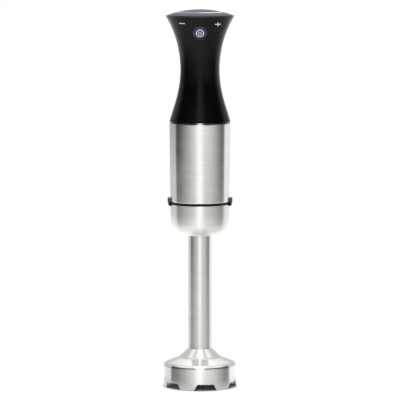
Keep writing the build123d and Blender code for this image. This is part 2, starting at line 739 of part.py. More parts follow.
def brush_box(width, height, inner, outer):
    """Box on +X that is hung under the bracket at the middle of the commutator."""
    middle = Z_COMMUTATOR + COMMUTATOR_HEIGHT / 2
    return block((inner, outer), (-width / 2, width / 2), (middle - height / 2, middle + height / 2))


def brush_holders():
    """Open boxes that guide the carbon brushes, each with a stem up to the bracket."""
    inner = COMMUTATOR_RADIUS + 2 * SLIDE_GAP
    outer = COMMUTATOR_RADIUS + BRUSH_LENGTH
    wall = 2 * (HOLDER_WALL + FIT)
    holder = brush_box(BRUSH_WIDTH + wall, BRUSH_HEIGHT + wall, inner, outer)
    holder -= brush_box(BRUSH_WIDTH + 2 * FIT, BRUSH_HEIGHT + 2 * FIT, inner, outer)
    half = BRUSH_WIDTH / 2
    top = Z_COMMUTATOR + COMMUTATOR_HEIGHT / 2 + BRUSH_HEIGHT / 2 + FIT
    holder += block((outer - 2 * half, outer), (-half, half), (top, Z_BRACKET))
    return Compound(children=[holder, Rot(0, 0, 180) * holder])


def carbon_brushes():
    brush = brush_box(BRUSH_WIDTH, BRUSH_HEIGHT, COMMUTATOR_RADIUS, COMMUTATOR_RADIUS + BRUSH_LENGTH)
    middle = Z_COMMUTATOR + COMMUTATOR_HEIGHT / 2
    brush -= rod(COMMUTATOR_RADIUS + RUNNING_FIT, middle - BRUSH_HEIGHT, middle + BRUSH_HEIGHT)
    return Compound(children=[brush, Rot(0, 0, 180) * brush])


# Rotor that turns in the motor unit


def motor_shaft():
    return rod(MOTOR_SHAFT_RADIUS, Z_STAR_TOP + SLIDE_GAP, Z_MOTOR_TOP)


def slot_places():
    return PolarLocations(ARMATURE_RADIUS - SLOT_RADIUS - SLOT_MOUTH, ARMATURE_SLOTS)


def armature_core():
    """Slotted lamination stack on the motor shaft."""
    section = Circle(ARMATURE_RADIUS) - Circle(MOTOR_SHAFT_RADIUS + FIT)
    section -= slot_places() * Circle(SLOT_RADIUS)
    mouth = Rectangle(SLOT_RADIUS + 2 * SLOT_MOUTH, SLOT_MOUTH, align=(Align.MIN, Align.CENTER))
    section -= slot_places() * mouth
    return prism(section, Z_STACK, Z_STACK_TOP)


def armature_windings():
    """Wound heads at both ends of the stack, joined by the bundles in its slots."""
    outer = ARMATURE_RADIUS - SLOT_MOUTH
    head = ring(outer, MOTOR_SHAFT_RADIUS + FIT, 0, WINDING_HEAD - SLIDE_GAP)
    head = fillet(head.edges().group_by(Axis.Z)[-1].sort_by(SortBy.RADIUS)[-1], WINDING_HEAD / 2)
    section = Sketch() + slot_places() * Circle(SLOT_RADIUS - FIT)
    bundles = prism(section, Z_STACK - FIT, Z_STACK_TOP + FIT)
    upper = Pos(0, 0, Z_STACK_TOP + FIT) * head
    lower = Pos(0, 0, Z_STACK - FIT) * Rot(180, 0, 0) * head
    return upper + bundles + lower


def commutator():
    """Copper drum with slits between its bars."""
    high = Z_COMMUTATOR + COMMUTATOR_HEIGHT
    drum = ring(COMMUTATOR_RADIUS, MOTOR_SHAFT_RADIUS + FIT, Z_COMMUTATOR, high)
    places = PolarLocations(COMMUTATOR_RADIUS - BAR_DEPTH, COMMUTATOR_BARS)
    slit = Rectangle(BAR_DEPTH + CUT_OVER, BAR_GAP, align=(Align.MIN, Align.CENTER))
    return drum - prism(Sketch() + places * slit, Z_COMMUTATOR, high)


def cooling_fan():
    """Disc with radial vanes and a hub on the motor shaft."""
    top = Z_FAN + FAN_HEIGHT
    fan = rod(FAN_RADIUS, Z_FAN, Z_FAN + FAN_SHEET) + rod(FAN_HUB_RADIUS, Z_FAN, top)
    vane = Rectangle(FAN_RADIUS - FAN_EYE_RADIUS, FAN_SHEET, align=(Align.MIN, Align.CENTER))
    vanes = Sketch() + PolarLocations(FAN_EYE_RADIUS, FAN_BLADES) * vane
    fan += prism(vanes & Circle(FAN_RADIUS), Z_FAN, top)
    return fan - rod(MOTOR_SHAFT_RADIUS + FIT, Z_FAN, top)


def drive_socket():
    """Socket on the motor shaft that takes the six-lobed dog."""
    socket = rod(DRIVE_RADIUS, Z_DRIVE, Z_DRIVE_TOP)
    socket -= prism(star(SLIDE_GAP), Z_DRIVE, Z_STAR_TOP + SLIDE_GAP)
    return socket - rod(MOTOR_SHAFT_RADIUS + FIT, Z_DRIVE, Z_DRIVE_TOP)


# Motor unit: light band, boards and grip


def light_band():
    return ring(SLEEVE_TOP_RADIUS, SLEEVE_TOP_RADIUS - BAND_DEPTH, Z_BAND, Z_GRIP)


def driver_board():
    """Round circuit board on the top of the motor frame."""
    return rod(SLEEVE_TOP_RADIUS - BAND_DEPTH - SLIDE_GAP, Z_BAND, Z_BAND + BOARD_SHEET)


def band_leds():
    """Light sources round the edge of the driver board."""
    low = Z_BAND + BOARD_SHEET
    places = PolarLocations(SLEEVE_TOP_RADIUS - BAND_DEPTH - LED_SIZE, LED_COUNT)
    led = block((-LED_SIZE, 0), (-LED_SIZE / 2, LED_SIZE / 2), (low, low + LED_HEIGHT))
    return Compound(children=[place * led for place in places])


def board_part(size, offset_y):
    width, depth, height = size
    return Pos(0, offset_y, Z_BAND + BOARD_SHEET) * Box(width, depth, height, align=BASE)


def grip_line(inset):
    """Flare and lower curve of the grip's outline, moved inwards by a thickness."""
    centre = GRIP_WAIST_RADIUS + UPPER_CURVE
    curve = UPPER_CURVE + inset
    half = RIM_SLOPE / 2
    rim = (centre - curve * math.cos(RIM_SLOPE), Z_WAIST + curve * math.sin(RIM_SLOPE))
    middle = (centre - curve * math.cos(half), Z_WAIST + curve * math.sin(half))
    waist = (centre - curve, Z_WAIST)
    taper = math.radians(GRIP_BASE_TAPER)
    base = (GRIP_BASE_RADIUS - inset / math.cos(taper), Z_GRIP)
    flare = ThreePointArc(rim, middle, waist)
    lower = Spline(waist, base, tangents=[(0, -1), (math.sin(taper), -math.cos(taper))])
    return flare, lower


def grip_skin(outer_inset, inner_inset):
    """Layer of the grip between two depths under its surface."""
    flare, lower = grip_line(outer_inset)
    inner_flare, inner_lower = grip_line(inner_inset)
    rim = Line(flare @ 0, inner_flare @ 0)
    base = Line(lower @ 1, inner_lower @ 1)
    return revolve(Plane.XZ * make_face([flare, lower, base, inner_lower, inner_flare, rim]), Axis.Z)


def grip_core():
    """The grip's outer form as one solid, for trimming what lies flush with it."""
    flare, lower = grip_line(0)
    closing = Polyline(lower @ 1, (0, Z_GRIP), (0, Z_RIM), flare @ 0)
    return revolve(Plane.XZ * make_face([flare, lower, *closing.edges()]), Axis.Z)


def grip_plane(height, turn):
    """Plane on the flare of the grip, its normal outwards, at a height above the waist."""
    slope = math.asin(height / UPPER_CURVE)
    radius = GRIP_WAIST_RADIUS + UPPER_CURVE * (1 - math.cos(slope))
    front = Plane(
        origin=(0, -radius, Z_WAIST + height),
        x_dir=(1, 0, 0),
        z_dir=(0, -math.cos(slope), -math.sin(slope)),
    )
    return Plane(Rot(0, 0, turn) * front.location)


def button_plane():
    return grip_plane(BUTTON_HEIGHT, 0)


def gland_plane():
    return grip_plane(GLAND_HEIGHT, 180)


def gland_back():
    """Depth of the gland's inner end under the surface of the grip."""
    return -GRIP_WALL - GLAND_CLEAR - GLAND_LIP


def post_places():
    return [Pos(-POST_OFFSET, 0), Pos(POST_OFFSET, 0)]


def board_face():
    """Depth of the control board's front face under the button's plane."""
    return BOARD_SHEET / 2 - CONTROL_BOARD_DEPTH


def grip_shell():
    """Waisted hollow grip with a hole for the button, one for the gland, and two posts."""
    shell = grip_skin(0, GRIP_WALL)
    inside = grip_core() - grip_skin(0, GRIP_WALL / 2)
    for place in post_places():
        post = rod(POST_RADIUS, board_face(), 0)
        shell += (button_plane() * place * post) & inside
    for place in post_places():
        pilot = rod(BOARD_SCREW_RADIUS + FIT, board_face(), board_face() + BOARD_SCREW_LENGTH)
        shell -= button_plane() * place * pilot
    shell -= button_plane() * rod(LIGHT_RING_RADIUS + FIT, -GUIDE_LENGTH - CUT_OVER, CUT_OVER)
    shell -= gland_plane() * rod(GLAND_RADIUS + FIT, gland_back(), CUT_OVER)
    return shell


def dome(lowered):
    """Solid under the domed top, lowered by a thickness."""
    edge = (CAP_RADIUS, Z_CAP - lowered)
    top = (0, Z_CAP + CAP_RISE - lowered)
    curve = (CAP_RADIUS**2 + CAP_RISE**2) / (2 * CAP_RISE)
    half = math.asin(CAP_RADIUS / curve) / 2
    middle = (curve * math.sin(half), top[1] - curve * (1 - math.cos(half)))
    arc = ThreePointArc(edge, middle, top)
    low = Z_CAP - CAP_EDGE - CAP_WALL
    closing = Polyline(top, (0, low), (CAP_RADIUS, low), edge)
    return revolve(Plane.XZ * make_face(arc.edges() + closing.edges()), Axis.Z)


def light_inlay(clearance):
    """Ring under the domed surface where the top light lies."""
    low = Z_CAP - CAP_EDGE
    high = Z_CAP + CAP_RISE
    inner = TOP_LIGHT_RADIUS - TOP_LIGHT_WIDTH
    body = ring(TOP_LIGHT_RADIUS - clearance, inner + clearance, low, high)
    return (body & dome(0)) - dome(TOP_LIGHT_DEPTH - clearance)


def top_cap():
    """Domed lid that closes the grip, with a groove for the top light."""
    low = Z_CAP - CAP_EDGE
    high = Z_CAP + CAP_RISE
    edge = lathe(
        (0, low),
        (CAP_FOOT_RADIUS, low),
        (CAP_RADIUS, Z_CAP),
        (CAP_RADIUS, high),
        (0, high),
    )
    hollow = dome(CAP_WALL) & rod(CAP_FOOT_RADIUS - CAP_EDGE_WALL, low - CAP_WALL, high)
    return (dome(0) & edge) - hollow - light_inlay(0)


def top_light_ring():
    return light_inlay(FIT)


def top_light_board():
    """Ring-shaped circuit board against the foot of the cap."""
    low = Z_CAP - CAP_EDGE - BOARD_SHEET
    outer = CAP_FOOT_RADIUS - (BOARD_SHEET + FIT) * math.tan(RIM_SLOPE) - SLIDE_GAP
    return ring(outer, outer - TOP_BOARD_WIDTH, low, Z_CAP - CAP_EDGE)


# Controls


def power_light_ring():
    """Clear ring round the power button, flush with the grip."""
    body = ring(LIGHT_RING_RADIUS, GUIDE_RADIUS + FIT, -GUIDE_LENGTH, CUT_OVER)
    return (button_plane() * body) & grip_core()


def button_guide():
    """Black sleeve that the power button slides in."""
    body = ring(GUIDE_RADIUS, BUTTON_BORE, -GUIDE_LENGTH, CUT_OVER)
    return (button_plane() * body) & grip_core()


def power_button():
    """Round cap on a stem, with a flange that stops it behind its guide."""
    low = -GUIDE_LENGTH - BUTTON_GAP - BUTTON_FLANGE
    cap = rod(BUTTON_RADIUS, low, BUTTON_PROUD)
    cap = fillet(cap.edges().group_by(Axis.Z)[-1], BUTTON_PROUD)
    return button_plane() * (cap + rod(GUIDE_RADIUS, low, low + BUTTON_FLANGE))


def power_switch():
    """Push switch on the control board, under the button."""
    flange_low = -GUIDE_LENGTH - BUTTON_GAP - BUTTON_FLANGE
    plunger_top = flange_low - BUTTON_TRAVEL - BUTTON_GAP
    body_top = plunger_top - PLUNGER_HEIGHT
    body = Pos(0, 0, board_face()) * Box(SWITCH_SIZE, SWITCH_SIZE, body_top - board_face(), align=BASE)
    return button_plane() * (body + rod(PLUNGER_RADIUS, body_top, plunger_top))


def control_board():
    """Circuit board behind the controls, screwed to two posts of the grip."""
    width, height = CONTROL_BOARD_SIZE
    board = Pos(0, 0, -CONTROL_BOARD_DEPTH) * Box(width, height, BOARD_SHEET)
    for place in post_places():
        board -= place * rod(BOARD_SCREW_RADIUS + FIT, board_face() - BOARD_SHEET, board_face())
    return button_plane() * board


def board_screws():
    back = board_face() - BOARD_SHEET
    screw = rod(BOARD_SCREW_RADIUS, back, board_face() + BOARD_SCREW_LENGTH)
    screw += rod(BOARD_SCREW_HEAD, back - BOARD_SCREW_HEAD_HEIGHT, back)
    return Compound(children=[button_plane() * place * screw for place in post_places()])


def touch_pads():
    """Sensor foils on the inner wall of the grip, behind the plus and minus signs."""
    lining = grip_skin(GRIP_WALL + FIT, GRIP_WALL + FIT + TOUCH_FOIL)
    pads = []
    for turn in (-TOUCH_TURN, TOUCH_TURN):
        spot = grip_plane(TOUCH_HEIGHT, turn) * rod(TOUCH_RADIUS, -2 * GRIP_WALL - TOUCH_FOIL, 0)
        pads.append(lining & spot)
    return Compound(children=pads)


def cord_gland():
    """Rubber bush at the back of the grip, with a bore for the mains lead."""
    plane = gland_plane()
    inside = gland_back()
    body = rod(GLAND_RADIUS, inside, GLAND_PROUD) + rod(GLAND_FLANGE, inside, inside + GLAND_LIP)
    flange = (plane * rod(GLAND_FLANGE, -GRIP_WALL, GLAND_PROUD)) - grip_core()
    gland = (plane * body) + flange
    return gland - plane * rod(GLAND_BORE, inside, GLAND_PROUD)


NODES = {
    "bell_guard": bell_guard(),
    "shaft_tube": shaft_tube(),
    "bearing_carrier": bearing_carrier(),
    "lower_bush": lower_bush(),
    "shaft_seal": shaft_seal(),
    "seal_cap": seal_cap(),
    "coupling_cup": coupling_cup(),
    "coupling_neck": coupling_neck(),
    "upper_bush": upper_bush(),
    "drive_shaft": drive_shaft(),
    "blade": blade(),
    "blade_spacer": blade_spacer(),
    "blade_nut": blade_nut(),
    "shaft_collar": shaft_collar(),
    "driven_coupling": driven_coupling(),
    "latch_cover": latch_cover(),
    "cover_screws": cover_screws(),
    "latch_housing": latch_housing(),
    "release_button_right": release_button(Z_LEVELS[0]),
    "release_button_left": Rot(0, 0, 180) * release_button(Z_LEVELS[1]),
    "release_spring_right": release_spring(),
    "release_spring_left": Rot(0, 0, 180) * release_spring(),
    "housing_sleeve": housing_sleeve(),
    "motor_frame": motor_frame(),
    "lower_bearing": bearing(Z_FRAME_FLOOR - BEARING_HEIGHT),
    "upper_bearing": bearing(Z_UPPER_BEARING),
    "stator_core": stator_core(),
    "field_coils": field_coils(),
    "brush_bracket": brush_bracket(),
    "brush_holders": brush_holders(),
    "carbon_brushes": carbon_brushes(),
    "motor_shaft": motor_shaft(),
    "armature_core": armature_core(),
    "armature_windings": armature_windings(),
    "commutator": commutator(),
    "cooling_fan": cooling_fan(),
    "drive_socket": drive_socket(),
    "light_band": light_band(),
    "driver_board": driver_board(),
    "band_leds": band_leds(),
    "suppressor_capacitor": board_part(CAPACITOR_SIZE, BOARD_PART_OFFSET),
    "terminal_block": board_part(TERMINAL_SIZE, -BOARD_PART_OFFSET),
    "grip_shell": grip_shell(),
    "top_cap": top_cap(),
    "top_light_ring": top_light_ring(),
    "top_light_board": top_light_board(),
    "power_light_ring": power_light_ring(),
    "button_guide": button_guide(),
    "power_button": power_button(),
    "power_switch": power_switch(),
    "control_board": control_board(),
    "board_screws": board_screws(),
    "touch_pads": touch_pads(),
    "cord_gland": cord_gland(),
}

os.makedirs("parts", exist_ok=True)
for name, solid in NODES.items():
    export_step(solid, f"parts/{name}.step")
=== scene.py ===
import json
import math

import bmesh
import bpy
from mathutils import Matrix, Vector


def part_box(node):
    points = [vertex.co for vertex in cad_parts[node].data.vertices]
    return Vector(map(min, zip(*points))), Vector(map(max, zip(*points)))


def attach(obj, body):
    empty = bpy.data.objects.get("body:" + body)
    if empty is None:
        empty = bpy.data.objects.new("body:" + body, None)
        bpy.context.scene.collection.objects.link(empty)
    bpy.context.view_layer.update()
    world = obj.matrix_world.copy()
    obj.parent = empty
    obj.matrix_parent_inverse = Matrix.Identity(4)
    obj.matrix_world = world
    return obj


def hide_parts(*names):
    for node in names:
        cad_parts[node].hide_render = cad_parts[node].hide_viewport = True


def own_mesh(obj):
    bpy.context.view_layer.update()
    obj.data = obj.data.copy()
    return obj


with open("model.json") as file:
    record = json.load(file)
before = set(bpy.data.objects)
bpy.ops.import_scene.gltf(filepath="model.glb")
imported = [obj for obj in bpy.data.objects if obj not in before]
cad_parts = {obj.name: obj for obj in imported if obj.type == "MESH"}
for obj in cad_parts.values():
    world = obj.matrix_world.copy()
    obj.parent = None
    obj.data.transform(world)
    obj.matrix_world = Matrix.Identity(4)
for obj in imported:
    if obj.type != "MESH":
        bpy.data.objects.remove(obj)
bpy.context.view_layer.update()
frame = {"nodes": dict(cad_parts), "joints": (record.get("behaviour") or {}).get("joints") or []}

# Bell guard: a drawn stainless steel bell with six notches round its rim, polished on a lathe.
# One sheet of even thickness, turned from its section, with the rim rolled smooth; the notches
# are pressed in afterwards, and the neck is welded to the tube.
MM = 0.001
NOISE_LOW, NOISE_HIGH = 0.3, 0.7
RELIEF = 0.1 * MM
WEAR_SPOTS = 60.0
WEAR_CHANGE = 0.02


def node(tree, kind, inputs=None, **settings):
    """Adds a node to a tree, with its settings, and with its inputs set or linked."""
    made = tree.nodes.new(kind)
    for name, value in settings.items():
        setattr(made, name, value)
    for name, value in (inputs or {}).items():
        if isinstance(value, bpy.types.NodeSocket):
            tree.links.new(value, made.inputs[name])
        else:
            made.inputs[name].default_value = value
    return made


def sum_of(tree, operation, *terms):
    """One step of arithmetic in a tree."""
    made = node(tree, "ShaderNodeMath", dict(enumerate(terms)), operation=operation)
    return made.outputs[0]


def own_place(tree):
    """A point's place in the piece's own coordinates."""
    return node(tree, "ShaderNodeTexCoord").outputs["Object"]


def parts_of(tree, vector):
    """The X, Y and Z of a vector."""
    return node(tree, "ShaderNodeSeparateXYZ", {0: vector}).outputs


def ramped(tree, value, start, end, low=0.0, high=1.0, kind="LINEAR"):
    """A value that goes from low to high while another one goes from start to end."""
    made = node(tree, "ShaderNodeMapRange", {
        "Value": value, "From Min": start, "From Max": end, "To Min": low, "To Max": high,
    }, interpolation_type=kind)
    return made.outputs[0]


def new_finish(name, **sockets):
    """An empty finish: its node tree and its shader, with the shader's even values set."""
    finish = bpy.data.materials.new(name)
    finish.use_nodes = True
    shader = finish.node_tree.nodes["Principled BSDF"]
    for socket, value in sockets.items():
        shader.inputs[socket.replace("_", " ")].default_value = value
    return finish, finish.node_tree, shader


def feed(tree, shader, **sockets):
    """Links the values that change over a surface to its shader."""
    for socket, value in sockets.items():
        tree.links.new(value, shader.inputs[socket.replace("_", " ")])


def pattern(tree, scale, detail=3.0):
    """Noise on the piece's own coordinates, with a scale along each axis in features a metre."""
    stretched = node(tree, "ShaderNodeMapping", {"Vector": own_place(tree), "Scale": scale})
    noise = node(tree, "ShaderNodeTexNoise", {
        "Vector": stretched.outputs[0], "Scale": 1.0, "Detail": detail, "Roughness": 0.55,
    })
    return noise.outputs["Fac"]


def between(tree, factor, low, high):
    """A value that follows a pattern from its dark parts to its light ones."""
    return ramped(tree, factor, NOISE_LOW, NOISE_HIGH, low, high)


def two_tones(tree, factor, dark, light):
    """A colour that follows a pattern from its dark parts to its light ones."""
    ramp = node(tree, "ShaderNodeValToRGB", {"Fac": factor})
    tones = zip(ramp.color_ramp.elements, (NOISE_LOW, NOISE_HIGH), (dark, light))
    for stop, place, colour in tones:
        stop.position = place
        stop.color = (*colour, 1.0)
    return ramp.outputs["Color"]


def relief(tree, height, depth):
    """A fine relief that follows a pattern."""
    made = node(tree, "ShaderNodeBump", {"Strength": depth, "Distance": RELIEF, "Height": height})
    return made.outputs[0]


def by_height(tree, start, end, change):
    """A value that goes from 0 at one height of the piece to a change at another."""
    return ramped(tree, parts_of(tree, own_place(tree))["Z"], start, end, high=change)


def spun_steel(name, dark, light, smooth, rough, stretch, lines, depth, worn=None, matt=None):
    """Steel finished on a lathe: lines run round the axis and pull its highlights upwards.

    The finish may grow coarser (worn), or less metallic (matt), a duller finish that also
    paints in bounced light, along the piece, each given as (from height, to height, change)."""
    finish, tree, shader = new_finish(
        name, Metallic=1.0, Anisotropic=stretch, Anisotropic_Rotation=0.25,
    )
    streaks = pattern(tree, lines, detail=4.0)
    wear = pattern(tree, (WEAR_SPOTS,) * 3)
    roughness = sum_of(
        tree, "ADD", between(tree, streaks, smooth, rough),
        between(tree, wear, -WEAR_CHANGE, WEAR_CHANGE),
    )
    if worn:
        roughness = sum_of(tree, "ADD", roughness, by_height(tree, *worn))
    if matt:
        # Less metal towards one end: a duller finish that is also painted brightening for light
        # bounced onto the piece.
        feed(tree, shader, Metallic=sum_of(tree, "SUBTRACT", 1.0, by_height(tree, *matt)))
    tangent = node(tree, "ShaderNodeTangent", direction_type="RADIAL", axis="Z")
    feed(
        tree, shader, Base_Color=two_tones(tree, streaks, dark, light), Roughness=roughness,
        Tangent=tangent.outputs[0], Normal=relief(tree, streaks, depth),
    )
    return finish


ARC_STEP = math.radians(5)
ROLL_STEPS = 6


def bent_line(corners, step=1.5 * MM):
    """Points along a line through corners (radius, height, bend), bent round at each corner."""
    points = [Vector(corners[0][:2])]
    for before, corner, after in zip(corners, corners[1:], corners[2:]):
        middle, bend = Vector(corner[:2]), corner[2]
        if bend == 0:
            points.append(middle)
            continue
        back = (Vector(before[:2]) - middle).normalized()
        ahead = (Vector(after[:2]) - middle).normalized()
        half = back.angle(ahead) / 2
        centre = middle + (back + ahead).normalized() * bend / math.sin(half)
        start = middle + back * bend / math.tan(half) - centre
        sweep = start.angle_signed(middle + ahead * bend / math.tan(half) - centre)
        arcs = max(3, math.ceil(abs(sweep) / ARC_STEP))
        for n in range(arcs + 1):
            points.append(centre + Matrix.Rotation(-sweep * n / arcs, 2) @ start)
    points.append(Vector(corners[-1][:2]))
    line = [points[0]]
    for start, end in zip(points, points[1:]):
        parts = max(1, math.ceil((end - start).length / step))
        line += [start.lerp(end, n / parts) for n in range(1, parts + 1)]
    return line


def sheet_outline(line, wall):
    """Closed section of a sheet on the right of a line, with its two ends rolled round."""
    inner = []
    for n, point in enumerate(line):
        way = line[min(n + 1, len(line) - 1)] - line[max(n - 1, 0)]
        inner.append(point + Vector((way.y, -way.x)).normalized() * wall)
    section = []
    for side, back in ((line, inner), (inner[::-1], line[::-1])):
        section += side[1:-1]
        middle = (side[-1] + back[-1]) / 2
        spoke = side[-1] - middle
        outwards = (side[-1] - side[-2]).normalized() * wall / 2
        middle -= outwards
        for n in range(ROLL_STEPS + 1):
            turn = math.pi * n / ROLL_STEPS
            section.append(middle + spoke * math.cos(turn) + outwards * math.sin(turn))
    return section + section[:1]


def tree_with(name, **sizes):
    """An empty geometry tree with named inputs for its sizes."""
    tree = bpy.data.node_groups.new(name, "GeometryNodeTree")
    tree.interface.new_socket("Geometry", in_out="INPUT", socket_type="NodeSocketGeometry")
    for size, kind in sizes.items():
        tree.interface.new_socket(size, in_out="INPUT", socket_type="NodeSocket" + kind)
    tree.interface.new_socket("Geometry", in_out="OUTPUT", socket_type="NodeSocketGeometry")
    return tree, tree.nodes.new("NodeGroupInput").outputs


def end_tree(tree, geometry, material):
    """Closes a geometry tree: smooth faces, no instances, one material."""
    smooth = node(tree, "GeometryNodeSetShadeSmooth", {"Geometry": geometry})
    real = node(tree, "GeometryNodeRealizeInstances", {"Geometry": smooth.outputs[0]})
    painted = node(tree, "GeometryNodeSetMaterial", {
        "Geometry": real.outputs[0], "Material": material,
    })
    node(tree, "NodeGroupOutput", {"Geometry": painted.outputs[0]})


CLOSED_AT = 0.001 * MM
MERGED_AT = 0.002 * MM
SHARP = math.radians(38)
ROLLED_RIM = 1.0 * MM
RIM_CORNER = 0.4


def turned_piece_tree():
    """Turns a section, given as points (radius, 0, height) in order, round the Z axis."""
    tree, size = tree_with("turned_piece", Segments="Int", Material="Material")
    points = node(tree, "GeometryNodeAttributeDomainSize", {"Geometry": size["Geometry"]})
    count = points.outputs["Point Count"]
    columns = node(tree, "FunctionNodeIntegerMath", {0: size["Segments"], 1: 1}, operation="ADD")
    grid = node(tree, "GeometryNodeMeshGrid", {
        "Vertices X": columns.outputs[0], "Vertices Y": count,
    })
    index = node(tree, "GeometryNodeInputIndex").outputs[0]
    along = node(tree, "FunctionNodeIntegerMath", {0: index, 1: count}, operation="MODULO")
    around = node(tree, "FunctionNodeIntegerMath", {0: index, 1: count}, operation="DIVIDE_FLOOR")
    section = node(tree, "GeometryNodeSampleIndex", {
        "Geometry": size["Geometry"],
        "Value": node(tree, "GeometryNodeInputPosition").outputs[0],
        "Index": along.outputs[0],
    }, data_type="FLOAT_VECTOR", domain="POINT")
    at = parts_of(tree, section.outputs[0])
    share = sum_of(tree, "DIVIDE", around.outputs[0], size["Segments"])
    angle = sum_of(tree, "MULTIPLY", share, 2 * math.pi)
    place = node(tree, "ShaderNodeCombineXYZ", {
        "X": sum_of(tree, "MULTIPLY", at["X"], sum_of(tree, "COSINE", angle)),
        "Y": sum_of(tree, "MULTIPLY", at["X"], sum_of(tree, "SINE", angle)),
        "Z": at["Z"],
    })
    turned = node(tree, "GeometryNodeSetPosition", {
        "Geometry": grid.outputs["Mesh"], "Position": place.outputs[0],
    })
    closed = node(tree, "GeometryNodeMergeByDistance", {
        "Geometry": turned.outputs[0], "Distance": CLOSED_AT,
    })
    end_tree(tree, closed.outputs[0], size["Material"])
    return tree


def rim_notches_tree():
    """Lifts the rim of a turned shell at even places round it, in notches with slanted sides."""
    tree, size = tree_with(
        "rim_notches", Count="Int", Turn="Float", Radius="Float", Mouth="Float", Top="Float",
        Depth="Float", Corner="Float", Fade="Float", Material="Material",
    )
    at = parts_of(tree, node(tree, "GeometryNodeInputPosition").outputs[0])
    angle = sum_of(tree, "ARCTAN2", at["X"], sum_of(tree, "MULTIPLY", at["Y"], -1.0))
    half = sum_of(tree, "DIVIDE", math.pi, size["Count"])
    wrapped = sum_of(
        tree, "WRAP", sum_of(tree, "SUBTRACT", angle, size["Turn"]),
        half, sum_of(tree, "MULTIPLY", half, -1.0),
    )
    off = sum_of(tree, "MULTIPLY", sum_of(tree, "ABSOLUTE", wrapped), size["Radius"])
    inside = sum_of(tree, "SUBTRACT", sum_of(tree, "DIVIDE", size["Mouth"], 2.0), off)
    run = sum_of(tree, "DIVIDE", sum_of(tree, "SUBTRACT", size["Mouth"], size["Top"]), 2.0)
    side = sum_of(tree, "MULTIPLY", inside, sum_of(tree, "DIVIDE", size["Depth"], run))
    capped = sum_of(tree, "SMOOTH_MIN", side, size["Depth"], size["Corner"])
    soft = sum_of(tree, "MULTIPLY", size["Corner"], RIM_CORNER)
    lift = sum_of(tree, "SMOOTH_MAX", capped, 0.0, soft)
    share = ramped(tree, at["Z"], ROLLED_RIM, size["Fade"], 1.0, 0.0)
    up = node(tree, "ShaderNodeCombineXYZ", {"Z": sum_of(tree, "MULTIPLY", lift, share)})
    pressed = node(tree, "GeometryNodeSetPosition", {
        "Geometry": size["Geometry"], "Offset": up.outputs[0],
    })
    end_tree(tree, pressed.outputs[0], size["Material"])
    return tree


TURNED = turned_piece_tree()


def settle(piece, place=None):
    """Makes a piece with modifiers a plain mesh, closed and facing outwards, in its place."""
    bpy.context.view_layer.update()
    shape = piece.evaluated_get(bpy.context.evaluated_depsgraph_get())
    mesh = bpy.data.meshes.new_from_object(shape)
    piece.modifiers.clear()
    piece.data = mesh
    shell = bmesh.new()
    shell.from_mesh(mesh)
    bmesh.ops.remove_doubles(shell, verts=shell.verts, dist=MERGED_AT)
    bmesh.ops.dissolve_degenerate(shell, edges=shell.edges, dist=CLOSED_AT)
    bmesh.ops.recalc_face_normals(shell, faces=shell.faces)
    shell.to_mesh(mesh)
    shell.free()
    if place:
        mesh.transform(place)
    mesh.shade_smooth()
    mesh.set_sharp_from_angle(angle=SHARP)
    return piece


def piece_of(name, points, faces=()):
    """A new piece from points and faces."""
    mesh = bpy.data.meshes.new(name)
    mesh.from_pydata([tuple(point) for point in points], [], faces)
    piece = bpy.data.objects.new(name, mesh)
    bpy.context.scene.collection.objects.link(piece)
    return piece


def run_tree(piece, tree, **sizes):
    """Puts a geometry tree with its sizes on a piece."""
    modifier = piece.modifiers.new(tree.name, "NODES")
    modifier.node_group = tree
    for item in tree.interface.items_tree:
        if item.in_out == "INPUT" and item.name in sizes:
            modifier[item.identifier] = sizes[item.name]
    return piece


def turned(name, section, finish, segments=192):
    """A piece turned round the Z axis from its section (radius, height), still with its tree."""
    piece = piece_of(name, [(r, 0.0, z) for r, z in section])
    return run_tree(piece, TURNED, Segments=segments, Material=finish)


def fit(piece, body, slot, *replaced):
    """Puts a finished piece on its body, in place of CAD nodes, which it hides; slot is not used."""
    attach(piece, body)
    if replaced:
        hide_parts(*replaced)


SHEET = 1.0 * MM
bell_low, bell_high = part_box("bell_guard")
tube_low, tube_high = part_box("shaft_tube")
BELL_RADIUS = bell_high.x
TUBE_RADIUS = tube_high.x
SKIRT = 25.2 * MM
CONE_FOOT = 22.0 * MM
DISH_SLOPE = math.radians(20)
CONE_SLOPE = math.radians(43)
NECK_BEND = 0.8 * MM
CONE_BEND = 9.0 * MM
SHOULDER_BEND = 4.5 * MM
FINE_STEP = 0.9 * MM
CONE_FOOT_HEIGHT = SKIRT + (BELL_RADIUS - CONE_FOOT) * math.tan(DISH_SLOPE)
CONE_TOP = CONE_FOOT_HEIGHT + (CONE_FOOT - TUBE_RADIUS) * math.tan(CONE_SLOPE)
polished_steel = spun_steel(
    "polished_steel", dark=(0.83, 0.825, 0.81), light=(0.88, 0.875, 0.86),
    smooth=0.15, rough=0.2, stretch=0.95, lines=(60.0, 60.0, 1600.0), depth=0.008,
)
bell_line = bent_line([
    (TUBE_RADIUS, bell_high.z, 0),
    (TUBE_RADIUS, CONE_TOP, NECK_BEND),
    (CONE_FOOT, CONE_FOOT_HEIGHT, CONE_BEND),
    (BELL_RADIUS, SKIRT, SHOULDER_BEND),
    (BELL_RADIUS, bell_low.z, 0),
], step=FINE_STEP)
bell = turned("bell", sheet_outline(bell_line, SHEET), polished_steel, segments=480)
run_tree(
    bell, rim_notches_tree(), Count=6, Turn=math.radians(9), Radius=BELL_RADIUS, Mouth=24.4 * MM,
    Top=17.5 * MM, Depth=6.4 * MM, Corner=1.5 * MM, Fade=16 * MM, Material=polished_steel,
)
fit(settle(bell), "blending_foot", "polished_steel", "bell_guard")
